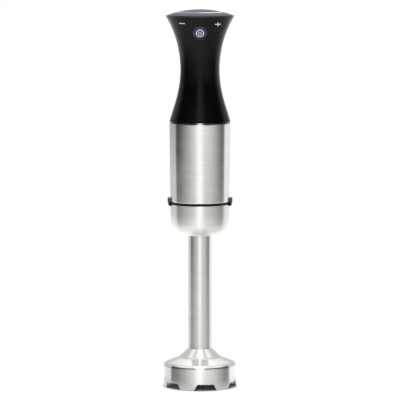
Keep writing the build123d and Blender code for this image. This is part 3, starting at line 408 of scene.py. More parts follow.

# Shaft tube: welded stainless steel tube, brushed round its axis, between bell and cup.
# Its lower end stands on the neck of the bell, where a fine turned groove marks the weld, and
# its finish grows duller and less metallic towards that end, partly a painted brightening for light
# the bell throws up.
BRUSH_LINES = (14.0, 14.0, 1300.0)
# The tube grows less metallic towards its foot: a duller finish, and a painted brightening for light
# the bell throws up.
DULL_AND_BOUNCE_FROM = 150.0 * MM
DULL_AND_BOUNCE_TO = 45.0 * MM
DULL_AND_BOUNCE_SHARE = 0.35
WELD_GROOVE = 0.5 * MM
WELD_EDGE = 0.6 * MM
tube_steel = spun_steel(
    "brushed_tube", dark=(0.71, 0.705, 0.685), light=(0.86, 0.855, 0.835),
    smooth=0.18, rough=0.25, stretch=1.0, lines=BRUSH_LINES, depth=0.012,
    matt=(DULL_AND_BOUNCE_FROM, DULL_AND_BOUNCE_TO, DULL_AND_BOUNCE_SHARE),
)
tube_line = bent_line([
    (TUBE_RADIUS, tube_high.z, 0),
    (TUBE_RADIUS, tube_low.z + WELD_EDGE, 0),
    (TUBE_RADIUS - WELD_GROOVE, tube_low.z + WELD_GROOVE, 0),
    (TUBE_RADIUS - WELD_GROOVE, tube_low.z, 0),
])
tube_bore = [Vector((TUBE_RADIUS - SHEET, end)) for end in (tube_low.z, tube_high.z)]
tube = turned("tube", tube_line + tube_bore + tube_line[:1], tube_steel)
fit(settle(tube), "blending_foot", "brushed_steel", "shaft_tube")

# Bearings of the drive shaft: a moulded carrier pressed into the tube, two bronze bushes, a
# rubber lip seal and the steel cap that holds it under the bell.
nodes = frame["nodes"]


def plain_finish(name, dark, light, smooth, rough, grain, depth, **sockets):
    """A finish without direction: a fine grain in its colour, its gloss and its surface."""
    finish, tree, shader = new_finish(name, **sockets)
    spots = pattern(tree, (grain,) * 3)
    feed(
        tree, shader, Base_Color=two_tones(tree, spots, dark, light),
        Roughness=between(tree, spots, smooth, rough), Normal=relief(tree, spots, depth),
    )
    return finish


def dress(finish, *names):
    """Gives CAD nodes that stay as they are their finish."""
    for name in names:
        mesh = nodes[name].data
        mesh.materials.clear()
        mesh.materials.append(finish)


black_plastic = plain_finish(
    "black_plastic", dark=(0.012, 0.012, 0.012), light=(0.026, 0.026, 0.026),
    smooth=0.45, rough=0.6, grain=2500.0, depth=0.15,
)
black_rubber = plain_finish(
    "black_rubber", dark=(0.014, 0.014, 0.014), light=(0.026, 0.026, 0.025),
    smooth=0.65, rough=0.85, grain=1800.0, depth=0.25,
)
bronze = plain_finish(
    "sintered_bronze", dark=(0.42, 0.27, 0.12), light=(0.60, 0.41, 0.20),
    smooth=0.35, rough=0.5, grain=2200.0, depth=0.2, Metallic=1.0,
)
plain_steel = plain_finish(
    "plain_steel", dark=(0.56, 0.56, 0.57), light=(0.70, 0.70, 0.71),
    smooth=0.22, rough=0.34, grain=600.0, depth=0.05, Metallic=1.0,
)
dress(black_plastic, "bearing_carrier")
dress(bronze, "lower_bush", "upper_bush")
dress(black_rubber, "shaft_seal")
dress(plain_steel, "seal_cap")

# Cutter: a four-winged blade of hardened steel, ground on its edges, held on the shaft between a
# spacer and a closed nut; a collar and a six-lobed plastic dog are on the shaft's upper end.
blade_steel = plain_finish(
    "ground_steel", dark=(0.60, 0.60, 0.60), light=(0.78, 0.78, 0.77),
    smooth=0.14, rough=0.26, grain=400.0, depth=0.04, Metallic=1.0,
)
white_plastic = plain_finish(
    "white_plastic", dark=(0.74, 0.74, 0.72), light=(0.82, 0.82, 0.80),
    smooth=0.3, rough=0.4, grain=1500.0, depth=0.06,
)
dress(blade_steel, "blade")
dress(plain_steel, "drive_shaft", "blade_spacer", "blade_nut", "shaft_collar")
dress(white_plastic, "driven_coupling")

# Coupling cup: drawn steel cup that flares from the tube to the seam, brushed round its axis.
# Its upper edge is rolled, and a moulded neck in it carries the spigot that plugs into the
# motor unit.
cup_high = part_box("coupling_cup")[1]
CUP_RADIUS = cup_high.x
CUP_BORE = TUBE_RADIUS + 0.05 * MM
CUP_HEIGHT = 33.3 * MM
CUP_SIDE = 14.0 * MM
CUP_SIDE_BEND = 50.0 * MM
CUP_CORNER = 28.4 * MM
CUP_CORNER_BEND = 13.0 * MM
CUP_SLOPE = math.radians(23.5)


def on_dish(radius):
    """Point of the cup's underside at a radius."""
    return radius, cup_high.z - CUP_HEIGHT + (radius - TUBE_RADIUS) * math.tan(CUP_SLOPE)


cup_line = bent_line([
    (CUP_RADIUS, cup_high.z, 0),
    (CUP_RADIUS, cup_high.z - CUP_SIDE, CUP_SIDE_BEND),
    (*on_dish(CUP_CORNER), CUP_CORNER_BEND),
    (*on_dish(CUP_BORE), 0),
], step=FINE_STEP)
cup_steel = spun_steel(
    "drawn_steel", dark=(0.78, 0.775, 0.755), light=(0.84, 0.835, 0.815),
    smooth=0.32, rough=0.36, stretch=0.95, lines=BRUSH_LINES, depth=0.006,
)
cup = turned("cup", sheet_outline(cup_line, SHEET), cup_steel, segments=240)
fit(settle(cup), "blending_foot", "brushed_steel", "coupling_cup")
dress(black_plastic, "coupling_neck")

# Latch cover: black moulded ring that shows as the dark line of the seam, with an ear under each
# release button. Four small blackened cross-head screws hold it under the latch housing.
seam_black = plain_finish(
    "seam_black", dark=(0.002, 0.002, 0.002), light=(0.005, 0.005, 0.005),
    smooth=0.4, rough=0.5, grain=2500.0, depth=0.1, Specular_IOR_Level=0.2,
)
black_steel = plain_finish(
    "blackened_steel", dark=(0.012, 0.012, 0.012), light=(0.022, 0.022, 0.022),
    smooth=0.4, rough=0.5, grain=600.0, depth=0.05, Metallic=1.0,
)
dress(seam_black, "latch_cover")
dress(black_plastic, "latch_housing")


def ring_of_pieces_tree():
    """Repeats a small piece at even places on a ring."""
    tree, size = tree_with(
        "ring_of_pieces", Count="Int", Radius="Float", Turn="Float", Material="Material",
    )
    circle = node(tree, "GeometryNodeMeshCircle", {
        "Vertices": size["Count"], "Radius": size["Radius"],
    })
    copies = node(tree, "GeometryNodeInstanceOnPoints", {
        "Points": circle.outputs[0], "Instance": size["Geometry"],
    })
    turn = node(tree, "ShaderNodeCombineXYZ", {"Z": size["Turn"]})
    placed = node(tree, "GeometryNodeTransform", {
        "Geometry": copies.outputs[0], "Rotation": turn.outputs[0],
    })
    end_tree(tree, placed.outputs[0], size["Material"])
    return tree


def cut(piece, cutter):
    """Cuts one closed piece out of another."""
    modifier = piece.modifiers.new("cut", "BOOLEAN")
    modifier.operation = "DIFFERENCE"
    modifier.solver = "EXACT"
    modifier.object = cutter
    settle(piece)
    bpy.data.objects.remove(cutter)


def bar(name, low, high):
    """A straight bar between two corners."""
    x, y, z = zip(low, high)
    points = [(x[n & 1], y[n >> 1 & 1], z[n >> 2 & 1]) for n in range(8)]
    sides = [(0, 2, 3, 1), (4, 5, 7, 6), (0, 1, 5, 4), (2, 6, 7, 3), (0, 4, 6, 2), (1, 3, 7, 5)]
    return piece_of(name, points, sides)


screw_low, screw_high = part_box("cover_screws")
SCREW_HEAD = 1.4 * MM
SCREW_BEVEL = 0.2 * MM
SCREW_SHANK = 0.7 * MM
SCREW_RING = math.hypot(screw_high.x - SCREW_HEAD, screw_high.y - SCREW_HEAD)
SLOT_REACH = 0.9 * MM
SLOT_WIDTH = 0.22
SLOT_BELOW = 0.5 * MM
SLOT_DEPTH = 0.6 * MM
screw_section = [
    (0, screw_low.z),
    (SCREW_HEAD - SCREW_BEVEL, screw_low.z),
    (SCREW_HEAD, screw_low.z + SCREW_BEVEL),
    (SCREW_HEAD, screw_low.z + SCREW_HEAD),
    (SCREW_SHANK, screw_low.z + SCREW_HEAD),
    (SCREW_SHANK, screw_high.z - SCREW_SHANK),
    (0, screw_high.z),
]
screws = settle(turned("cover_screw_ring", screw_section, black_steel, segments=24))
below = Vector((0, 0, screw_low.z - SLOT_BELOW))
above = Vector((0, 0, screw_low.z + SLOT_DEPTH))
for across in ((1, SLOT_WIDTH, 0), (SLOT_WIDTH, 1, 0)):
    reach = Vector(across) * SLOT_REACH
    cut(screws, bar("slot", below - reach, above + reach))
run_tree(
    screws, ring_of_pieces_tree(), Count=4, Radius=SCREW_RING, Turn=math.radians(45),
    Material=black_steel,
)
fit(settle(screws), "motor_unit", "stainless_steel", "cover_screws")

# Release buttons: one moulded knob on each side with a plate that catches under the spigot's
# land, pushed outwards by a small coil spring.
grey_plastic = plain_finish(
    "dark_grey_plastic", dark=(0.04, 0.04, 0.041), light=(0.07, 0.07, 0.072),
    smooth=0.2, rough=0.3, grain=2200.0, depth=0.08,
)
spring_steel = plain_finish(
    "spring_steel", dark=(0.45, 0.45, 0.45), light=(0.6, 0.6, 0.6),
    smooth=0.25, rough=0.35, grain=900.0, depth=0.04, Metallic=1.0,
)
dress(grey_plastic, "release_button_left", "release_button_right")


def coil_spring_tree():
    """Winds a round wire into a coil round the Z axis."""
    tree, size = tree_with(
        "coil_spring", Radius="Float", Wire="Float", Length="Float", Turns="Float",
        Material="Material",
    )
    path = node(tree, "GeometryNodeCurveSpiral", {
        "Resolution": 32, "Rotations": size["Turns"], "Height": size["Length"],
        "Start Radius": size["Radius"], "End Radius": size["Radius"],
    })
    outline = node(tree, "GeometryNodeCurvePrimitiveCircle", {
        "Resolution": 12, "Radius": size["Wire"],
    })
    wire = node(tree, "GeometryNodeCurveToMesh", {
        "Curve": path.outputs[0], "Profile Curve": outline.outputs[0], "Fill Caps": True,
    })
    end_tree(tree, wire.outputs[0], size["Material"])
    return tree


SPRING = coil_spring_tree()
SPRING_WIRE = 0.25 * MM
SPRING_PITCH = 1.2 * MM
for side, turn in (("right", 0.0), ("left", math.pi)):
    low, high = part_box("release_spring_" + side)
    inner_end = min(low.x, high.x, key=abs)
    room = high.x - low.x
    length = room - 2 * SPRING_WIRE
    seat = Matrix.Translation((abs(inner_end) + SPRING_WIRE, 0, (low.z + high.z) / 2))
    place = Matrix.Rotation(turn, 4, "Z") @ seat @ Matrix.Rotation(math.pi / 2, 4, "Y")
    spring = run_tree(
        piece_of("spring_" + side, [(0, 0, 0)]), SPRING, Radius=(high.z - low.z) / 2 - SPRING_WIRE,
        Wire=SPRING_WIRE, Length=length, Turns=length / SPRING_PITCH, Material=spring_steel,
    )
    fit(settle(spring, place), "motor_unit", "stainless_steel", "release_spring_" + side)
    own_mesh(spring)

# Housing sleeve: brushed steel sleeve round the motor, a little wider at its top, with rolled
# edges and a window on each side for the knob of a release button. Its brushing is finest at
# the top.


def round_top(piece, radius):
    """Rounds the two upper edges of a bar that run along X."""
    shape = bmesh.new()
    shape.from_mesh(piece.data)
    top = max(vertex.co.z for vertex in shape.verts)
    edges = []
    for edge in shape.edges:
        start, end = (vertex.co for vertex in edge.verts)
        if start.z == end.z == top and start.y == end.y:
            edges.append(edge)
    bmesh.ops.bevel(shape, geom=edges, offset=radius, segments=8, profile=0.5, affect="EDGES")
    shape.to_mesh(piece.data)
    shape.free()


sleeve_low, sleeve_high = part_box("housing_sleeve")
SLEEVE_FLARE = 1.1 * MM
SLEEVE_COARSER = 0.11
KNOB_CLEAR = 0.2 * MM
KNOB_HALF_WIDTH = 6.5 * MM
KNOB_HEIGHT = 4.1 * MM
KNOB_CURVE = 2.0 * MM
WINDOW_NEAR = 25.0 * MM
WINDOW_FAR = 36.0 * MM
WINDOW_BELOW = 1.0 * MM
sleeve_line = bent_line([
    (sleeve_high.x, sleeve_high.z, 0),
    (sleeve_high.x - SLEEVE_FLARE, sleeve_low.z, 0),
])
sleeve_steel = spun_steel(
    "brushed_sleeve", dark=(0.74, 0.735, 0.715), light=(0.83, 0.825, 0.805),
    smooth=0.115, rough=0.14, stretch=1.0, lines=BRUSH_LINES, depth=0.008,
    worn=(sleeve_high.z, sleeve_low.z, SLEEVE_COARSER),
)
sleeve = settle(turned("sleeve", sheet_outline(sleeve_line, SHEET), sleeve_steel, segments=288))
half_width = KNOB_HALF_WIDTH + KNOB_CLEAR
window_low = sleeve_low.z - WINDOW_BELOW
window_high = sleeve_low.z + KNOB_HEIGHT + KNOB_CLEAR
for side in (-1, 1):
    near, far = sorted((side * WINDOW_NEAR, side * WINDOW_FAR))
    window = bar("window", (near, -half_width, window_low), (far, half_width, window_high))
    round_top(window, KNOB_CURVE + KNOB_CLEAR)
    cut(sleeve, window)
fit(sleeve, "motor_unit", "brushed_steel", "housing_sleeve")

# Motor: a universal motor in a moulded frame, with its stack, coils, brushes, bearings and fan,
# and the six-lobed socket that drives the foot.
copper = plain_finish(
    "enamelled_copper", dark=(0.50, 0.20, 0.08), light=(0.72, 0.36, 0.17),
    smooth=0.22, rough=0.36, grain=1600.0, depth=0.3, Metallic=1.0,
)
lamination = spun_steel(
    "stacked_sheets", dark=(0.22, 0.22, 0.225), light=(0.36, 0.36, 0.37),
    smooth=0.38, rough=0.5, stretch=0.3, lines=(80.0, 80.0, 2200.0), depth=0.4,
)
carbon = plain_finish(
    "pressed_carbon", dark=(0.02, 0.02, 0.02), light=(0.045, 0.045, 0.045),
    smooth=0.5, rough=0.7, grain=2600.0, depth=0.2,
)
dress(black_plastic, "motor_frame", "brush_bracket", "cooling_fan")
dress(plain_steel, "lower_bearing", "upper_bearing", "motor_shaft")
dress(lamination, "stator_core", "armature_core")
dress(copper, "field_coils", "armature_windings", "commutator")
dress(bronze, "brush_holders")
dress(carbon, "carbon_brushes")
dress(white_plastic, "drive_socket")

# Light band and boards: a clear blue moulded line between sleeve and grip, lit from inside by
# small light sources on a round circuit board; its narrow near-white spots front and back are a
# painted highlight. The boards, the switch and the copper sensor foils inside the grip have their
# finish here too.
# Where the ring glows and the colours of its glow; the near-white end, narrow at front and back, is
# a painted highlight.
GLOW_AND_HIGHLIGHT_STARTS = (("X", 0.75), ("Y", 0.98))
GLOW_AND_HIGHLIGHT_STOPS = (
    (0.3, (0.012, 0.01, 0.03)), (0.6, (0.085, 0.075, 0.16)), (0.86, (0.24, 0.23, 0.3)),
)
GLOW_AND_HIGHLIGHT_WHITE = (0.85, 0.84, 0.88)


def lit_plastic(name, dark, light, grain):
    """Clear tinted plastic, a little uneven, ready for the light that shines through it."""
    finish, tree, shader = new_finish(name, Specular_IOR_Level=0.3, Emission_Strength=1.0)
    spots = pattern(tree, (grain,) * 3, detail=1.0)
    feed(
        tree, shader, Base_Color=two_tones(tree, spots, dark, light),
        Roughness=between(tree, spots, 0.18, 0.28),
    )
    return finish, tree, shader


def ring_of_light(name, radius):
    """Dark blue plastic lit at four places of a ring, wide at its sides, narrow front and back; the
    near-white middle of each place is a painted highlight.
    """
    finish, tree, shader = lit_plastic(
        name, dark=(0.003, 0.003, 0.012), light=(0.006, 0.005, 0.022), grain=90.0,
    )
    at = parts_of(tree, own_place(tree))
    near = [
        ramped(tree, sum_of(tree, "ABSOLUTE", at[part]), start * radius, radius)
        for part, start in GLOW_AND_HIGHLIGHT_STARTS
    ]
    ramp = node(tree, "ShaderNodeValToRGB", {"Fac": sum_of(tree, "MAXIMUM", *near)})
    for position, colour in GLOW_AND_HIGHLIGHT_STOPS:
        ramp.color_ramp.elements.new(position).color = (*colour, 1.0)
    ramp.color_ramp.elements[-1].color = (*GLOW_AND_HIGHLIGHT_WHITE, 1.0)
    feed(tree, shader, Emission_Color=ramp.outputs["Color"])
    return finish


board_green = plain_finish(
    "circuit_board", dark=(0.01, 0.09, 0.035), light=(0.03, 0.16, 0.06),
    smooth=0.3, rough=0.42, grain=700.0, depth=0.1,
)
band_low, band_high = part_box("light_band")
blue_light = ring_of_light("blue_light", band_high.x)
BAND_INSIDE = band_high.x - 2.6 * MM
BAND_EDGE = 0.3 * MM
band_section = bent_line([
    (BAND_INSIDE, band_high.z, 0),
    (band_high.x, band_high.z, BAND_EDGE),
    (band_high.x, band_low.z, BAND_EDGE),
    (BAND_INSIDE, band_low.z, 0),
    (BAND_INSIDE, band_high.z, 0),
])
band = turned("light_line", band_section, blue_light, segments=240)
fit(settle(band), "motor_unit", "blue_light_plastic", "light_band")
dress(board_green, "driver_board", "control_board", "top_light_board")
dress(white_plastic, "band_leds", "terminal_block")
dress(grey_plastic, "suppressor_capacitor", "power_switch")
dress(plain_steel, "board_screws")
dress(copper, "touch_pads")

# Grip: waisted hollow moulding in satin black plastic, with a fine turned texture round it that
# gives a soft hold. The control signs are printed on it in white.
GRIP_LINES = (60.0, 60.0, 700.0)
GRIP_GRAIN = 2600.0
GRAIN_SHARE = 0.5


def satin_grip(name):
    """Satin black plastic with fine lines round the axis and a slight grain."""
    finish, tree, shader = new_finish(name, Specular_IOR_Level=0.15)
    lines = pattern(tree, GRIP_LINES, detail=2.0)
    grain = pattern(tree, (GRIP_GRAIN,) * 3)
    height = sum_of(tree, "ADD", lines, sum_of(tree, "MULTIPLY", grain, GRAIN_SHARE))
    feed(
        tree, shader,
        Base_Color=two_tones(tree, lines, (0.001, 0.001, 0.001), (0.0025, 0.0025, 0.0025)),
        Roughness=between(tree, lines, 0.2, 0.265), Normal=relief(tree, height, 0.4),
    )
    return finish


dress(satin_grip("satin_black_plastic"), "grip_shell")
white_print = plain_finish(
    "white_print", dark=(0.70, 0.70, 0.70), light=(0.82, 0.82, 0.82),
    smooth=0.45, rough=0.6, grain=1200.0, depth=0.05,
)
PRINT = 0.08 * MM
PRINT_STEP = 0.4 * MM
PRINTED_FROM = -1.0


def thick_print(piece, thickness, offset, place=None):
    """Gives a flat print its thickness and its white finish."""
    thick = piece.modifiers.new("thick", "SOLIDIFY")
    thick.thickness = thickness
    thick.offset = offset
    piece.data.materials.append(white_print)
    return settle(piece, place)


def printed_sign(name, aside, height, fields):
    """Fields (left, right, low, high) that meet edge to edge, printed on the grip from the front."""
    places, faces = {}, []
    for left, right, low, high in fields:
        across = round((right - left) / PRINT_STEP)
        up = round((high - low) / PRINT_STEP)
        corner = {}
        for i in range(across + 1):
            for j in range(up + 1):
                x = left + (right - left) * i / across
                z = low + (high - low) * j / up
                corner[i, j] = places.setdefault((round(x, 6), round(z, 6)), len(places))
        for i in range(across):
            for j in range(up):
                faces.append((
                    corner[i, j], corner[i + 1, j], corner[i + 1, j + 1], corner[i, j + 1],
                ))
    sign = piece_of(name, [(aside + x, PRINTED_FROM, height + z) for x, z in places], faces)
    for vertex in sign.data.vertices:
        _, spot, normal, _ = nodes["grip_shell"].ray_cast(vertex.co, (0, 1, 0))
        vertex.co = spot + normal * PRINT
    return thick_print(sign, 1.5 * PRINT, -1)


SIGN_ASIDE = 18.5 * MM
MINUS_HEIGHT = 381.55 * MM
PLUS_HEIGHT = 380.7 * MM
ARM = 3.0 * MM
STROKE = 0.4 * MM
UPRIGHT = 1.95 * MM
BROAD = 0.5 * MM
minus = printed_sign("minus_sign", -SIGN_ASIDE, MINUS_HEIGHT, [(-ARM, ARM, -STROKE, STROKE)])
plus = printed_sign("plus_sign", SIGN_ASIDE, PLUS_HEIGHT, [
    (-ARM, -BROAD, -STROKE, STROKE),
    (-BROAD, BROAD, -STROKE, STROKE),
    (BROAD, ARM, -STROKE, STROKE),
    (-BROAD, BROAD, STROKE, UPRIGHT),
    (-BROAD, BROAD, -UPRIGHT, -STROKE),
])
fit(minus, "motor_unit", "white_plastic")
fit(plus, "motor_unit", "white_plastic")

# Top cap: glossy black domed lid, moulded in one piece and pressed into the rim of the grip.
# A clear ring is let into a groove of the dome and lit from a small board under it; its right
# half is painted near-white, a painted highlight.
gloss_black = plain_finish(
    "gloss_black_plastic", dark=(0.012, 0.012, 0.0115), light=(0.018, 0.018, 0.017),
    smooth=0.26, rough=0.34, grain=300.0, depth=0.02, Specular_IOR_Level=0.3,
)
cap_low, cap_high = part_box("top_cap")
light_ring_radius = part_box("top_light_ring")[1].x
cap_points = [vertex.co for vertex in nodes["top_cap"].data.vertices]
FOOT_BAND = 0.02 * MM
CAP_RADIUS = cap_high.x
CAP_RISE = 5.8 * MM
CAP_EDGE_HEIGHT = cap_high.z - CAP_RISE
CAP_WALL = 2.0 * MM
CAP_FOOT = max(point.xy.length for point in cap_points if point.z < cap_low.z + FOOT_BAND)
CAP_BORE = CAP_FOOT - 2.5 * MM
GROOVE_OUT = light_ring_radius + 0.05 * MM
GROOVE_IN = light_ring_radius - 3.5 * MM
GROOVE_DEPTH = 1.2 * MM
EDGE_ROLL = 0.35 * MM
EDGE_SETBACK = 0.1 * MM
DOME_CURVE = (CAP_RADIUS**2 + CAP_RISE**2) / (2 * CAP_RISE)


def on_dome(radius, lowered=0.0):
    """Point of the cap's section at a radius, under the dome by a depth."""
    height = cap_high.z - DOME_CURVE + math.sqrt(DOME_CURVE**2 - radius**2)
    return Vector((radius, height - lowered))


def along_dome(start, end, lowered=0.0, parts=16):
    """Points of the cap's section between two radii, under the dome by a depth."""
    return [on_dome(start + (end - start) * n / parts, lowered) for n in range(parts + 1)]


cap_section = along_dome(0, GROOVE_IN)
cap_section += along_dome(GROOVE_IN, GROOVE_OUT, GROOVE_DEPTH, 6)
cap_section += along_dome(GROOVE_OUT, CAP_RADIUS - EDGE_ROLL)
cap_section += [
    Vector((CAP_RADIUS - EDGE_SETBACK, CAP_EDGE_HEIGHT - EDGE_SETBACK / 2)),
    Vector((CAP_RADIUS - EDGE_SETBACK / 2, CAP_EDGE_HEIGHT - EDGE_ROLL)),
    Vector((CAP_FOOT, cap_low.z)),
    Vector((CAP_BORE, cap_low.z)),
]
cap_section += along_dome(CAP_BORE, 0, CAP_WALL)
cap = turned("domed_cap", cap_section, gloss_black, segments=240)
fit(settle(cap), "motor_unit", "gloss_black_plastic", "top_cap")
PAINTED_HIGHLIGHT_SPAN = 13.0 * MM
top_light, tree, shader = lit_plastic(
    "top_light", dark=(0.05, 0.05, 0.11), light=(0.08, 0.08, 0.16), grain=60.0,
)
from_left = parts_of(tree, own_place(tree))["X"]
# Blue glow on the left going over into near-white on the right: a painted highlight.
painted_highlight_share = ramped(tree, from_left, -PAINTED_HIGHLIGHT_SPAN, PAINTED_HIGHLIGHT_SPAN, kind="SMOOTHSTEP")
feed(
    tree, shader,
    Emission_Color=two_tones(tree, painted_highlight_share, (0.10, 0.10, 0.24), (0.5, 0.5, 0.6)),
)
dress(top_light, "top_light_ring")

# Power button: a round metal-rimmed button in a black guide, with a lit blue ring round it, flush
# with the grip. The button slides along its own axis against a push switch.
press = next(joint for joint in frame["joints"] if joint["name"] == "power_press")
button_out = -Vector(press["axis"])
BUTTON_RADIUS = 4.3 * MM
BUTTON_PROUD = 0.4 * MM
button_points = [vertex.co for vertex in nodes["power_button"].data.vertices]
button_face = max(point.dot(button_out) for point in button_points)
button_back = min(point.dot(button_out) for point in button_points)
side_way = Vector((1, 0, 0))
up_way = button_out.cross(side_way)
up_places = [point.dot(up_way) for point in button_points]
button_middle = up_way * (min(up_places) + max(up_places)) / 2
button_seat = button_out * (button_face - BUTTON_PROUD) + button_middle
button_turn = Matrix((side_way, up_way, button_out)).transposed().to_4x4()
button_place = Matrix.Translation(button_seat) @ button_turn
LIT_FROM = 5.5 * MM
LIT_TO = 7.1 * MM
LIT_SOFT = 0.2 * MM
LIT_FLAT = 1.1
LIT_RAISED = 0.3 * MM
LIT_BLUE = (0.028, 0.028, 0.13)


def lit_round_button(name, place):
    """Blue light guide round a button, lit in a ring that is a little flat and a little raised."""
    finish, tree, shader = lit_plastic(
        name, dark=(0.004, 0.003, 0.02), light=(0.007, 0.005, 0.035), grain=300.0,
    )
    own = node(tree, "ShaderNodeMapping", {
        "Vector": own_place(tree), "Location": place.translation, "Rotation": place.to_euler(),
    }, vector_type="TEXTURE")
    at = parts_of(tree, own.outputs[0])
    raised = sum_of(tree, "SUBTRACT", at["Y"], LIT_RAISED)
    flat = node(tree, "ShaderNodeCombineXYZ", {
        "X": at["X"], "Y": sum_of(tree, "MULTIPLY", raised, LIT_FLAT),
    })
    length = node(tree, "ShaderNodeVectorMath", {0: flat.outputs[0]}, operation="LENGTH")
    off = length.outputs["Value"]
    level = sum_of(
        tree, "MULTIPLY", ramped(tree, off, LIT_FROM, LIT_FROM + LIT_SOFT),
        ramped(tree, off, LIT_TO, LIT_TO - LIT_SOFT),
    )
    glow = node(tree, "ShaderNodeVectorMath", {0: LIT_BLUE, "Scale": level}, operation="SCALE")
    feed(tree, shader, Emission_Color=glow.outputs[0])
    return finish


dress(lit_round_button("ring_light", button_place), "power_light_ring")
dress(gloss_black, "button_guide")
satin_metal = plain_finish(
    "satin_metal", dark=(0.66, 0.66, 0.67), light=(0.80, 0.80, 0.81),
    smooth=0.2, rough=0.32, grain=1500.0, depth=0.05, Metallic=1.0,
)
button_grey = plain_finish(
    "button_grey", dark=(0.11, 0.115, 0.108), light=(0.16, 0.165, 0.155),
    smooth=0.35, rough=0.5, grain=2600.0, depth=0.15,
)
FACE_RADIUS = 3.5 * MM
FACE_LOW = BUTTON_PROUD - 0.25 * MM
RIM_INNER_BEND = 0.15 * MM
RIM_OUTER_BEND = 0.35 * MM
BUTTON_LOW = button_back - button_face + BUTTON_PROUD
FLANGE_TOP = BUTTON_LOW + 1.2 * MM
FLANGE_RADIUS = 5.3 * MM
BUTTON_STEP = 0.5 * MM
rim_section = bent_line([
    (0, FACE_LOW, 0),
    (FACE_RADIUS, FACE_LOW, 0),
    (FACE_RADIUS, BUTTON_PROUD, RIM_INNER_BEND),
    (BUTTON_RADIUS, BUTTON_PROUD, RIM_OUTER_BEND),
    (BUTTON_RADIUS, FLANGE_TOP, 0),
    (FLANGE_RADIUS, FLANGE_TOP, 0),
    (FLANGE_RADIUS, BUTTON_LOW, 0),
    (0, BUTTON_LOW, 0),
], step=BUTTON_STEP)
button_rim = settle(turned("button_rim", rim_section, satin_metal, segments=96), button_place)
fit(button_rim, "power_button", "satin_metal", "power_button")
FACE_SHEET = 0.12 * MM
FACE_TOP = FACE_LOW + FACE_SHEET
FACE_EDGE = FACE_RADIUS - 0.02 * MM
FACE_BEND = 0.05 * MM
face_section = bent_line([
    (0, FACE_TOP, 0),
    (FACE_EDGE, FACE_TOP, FACE_BEND),
    (FACE_EDGE, FACE_LOW - FACE_SHEET, 0),
    (0, FACE_LOW - FACE_SHEET, 0),
], step=BUTTON_STEP)
face = settle(turned("button_face", face_section, button_grey, segments=96), button_place)
fit(face, "power_button", "dark_grey_plastic")
MARK_STEPS = 48
MARK_BAR = (0.1, 1.35)


def power_mark(name, radius, width, gap, height):
    """The usual open ring with a bar through its gap, as a thin raised print."""
    points, faces = [], []
    for n in range(MARK_STEPS + 1):
        turn = math.pi / 2 + gap + (2 * math.pi - 2 * gap) * n / MARK_STEPS
        for r in (radius - width / 2, radius + width / 2):
            points.append((r * math.cos(turn), r * math.sin(turn), height))
    for n in range(MARK_STEPS):
        faces.append((2 * n, 2 * n + 1, 2 * n + 3, 2 * n + 2))
    first = len(points)
    for end in MARK_BAR:
        for x in (-width / 2, width / 2):
            points.append((x, end * radius, height))
    faces.append((first, first + 1, first + 3, first + 2))
    return thick_print(piece_of(name, points, faces), PRINT, 0, button_place)


mark = power_mark(
    "power_mark", radius=1.5 * MM, width=0.45 * MM, gap=math.radians(38), height=FACE_TOP,
)
fit(mark, "power_button", "white_plastic")

# Cord gland: soft rubber bush in the back of the grip, with a stepped collar outside and a bore
# for the mains lead.
dress(black_rubber, "cord_gland")

# Studio: a white floor that can be looked through from below, a pale backdrop, soft panels on both
# sides and a narrow bright strip from the front over the top, all as they show in the steel. The
# light comes from the world and one soft lamp, and the camera sees the world as plain white.
scene = bpy.context.scene
scene.view_settings.view_transform = "Standard"
world = bpy.data.worlds.new("studio")
scene.world = world
world.use_nodes = True
sky = world.node_tree
sky.nodes.clear()
FRONT_PANELS = [
    (0.0, 0.03), (0.012, 0.08), (0.05, 0.22), (0.16, 0.45), (0.3, 0.74), (0.4, 1.05), (0.5, 1.25),
    (0.58, 1.05), (0.67, 0.9), (0.82, 0.74), (0.93, 0.5), (0.985, 0.27), (1.0, 0.12),
]
BACK_PANELS = [(0.0, 0.3), (0.35, 0.6), (0.5, 1.15), (0.65, 0.95), (1.0, 0.95)]
FLOOR_PANELS = [
    (0.0, 0.98), (0.2, 1.2), (0.38, 1.3), (0.5, 1.38), (0.62, 1.12), (0.8, 0.98), (1.0, 0.8),
]
SWEEP = 1.25
OVERHEAD = 0.64
OVERHEAD_STRIP = 1.25
CEILING_FRONT = 1.15
DARK_CEILING = 0.02
LAMP_TINT = (1.0, 0.997, 0.985, 1.0)
STRIP_SIDES = (0.3, 0.12)
STRIP_START = (0.3, 0.5)
RIGHT_HALF = (-0.5, 0.5)
BACKDROP_EDGE = (0.18, 0.36)
BACKDROP_SLANT = -0.02
SWEEP_TOP = (-0.135, -0.155)
BACKDROP_TOP = (0.04, 0.12)
PANEL_TOP = (0.08, 0.16)
CEILING_START = (0.5, 0.65)
CEILING_END = (0.88, 0.96)
FLOOR_EDGE = (-0.1, -0.5)
way = parts_of(sky, node(sky, "ShaderNodeTexCoord").outputs["Generated"])


def panels(stops):
    """Brightness from left to right, as a ramp."""
    ramp = node(sky, "ShaderNodeValToRGB", {"Fac": ramped(sky, way["X"], -1.0, 1.0)})
    elements = ramp.color_ramp.elements
    while len(elements) < len(stops):
        elements.new(0.5)
    for element, (position, level) in zip(elements, stops):
        element.position = position
        element.color = (level, level, level, 1.0)
    return ramp.outputs["Color"]


def ease(value, start, end):
    """A soft step from 0 to 1."""
    return ramped(sky, value, start, end, kind="SMOOTHSTEP")


def merged(share, first, second):
    """One brightness going over into another."""
    return node(sky, "ShaderNodeMix", {0: share, 2: first, 3: second}, data_type="FLOAT").outputs[0]


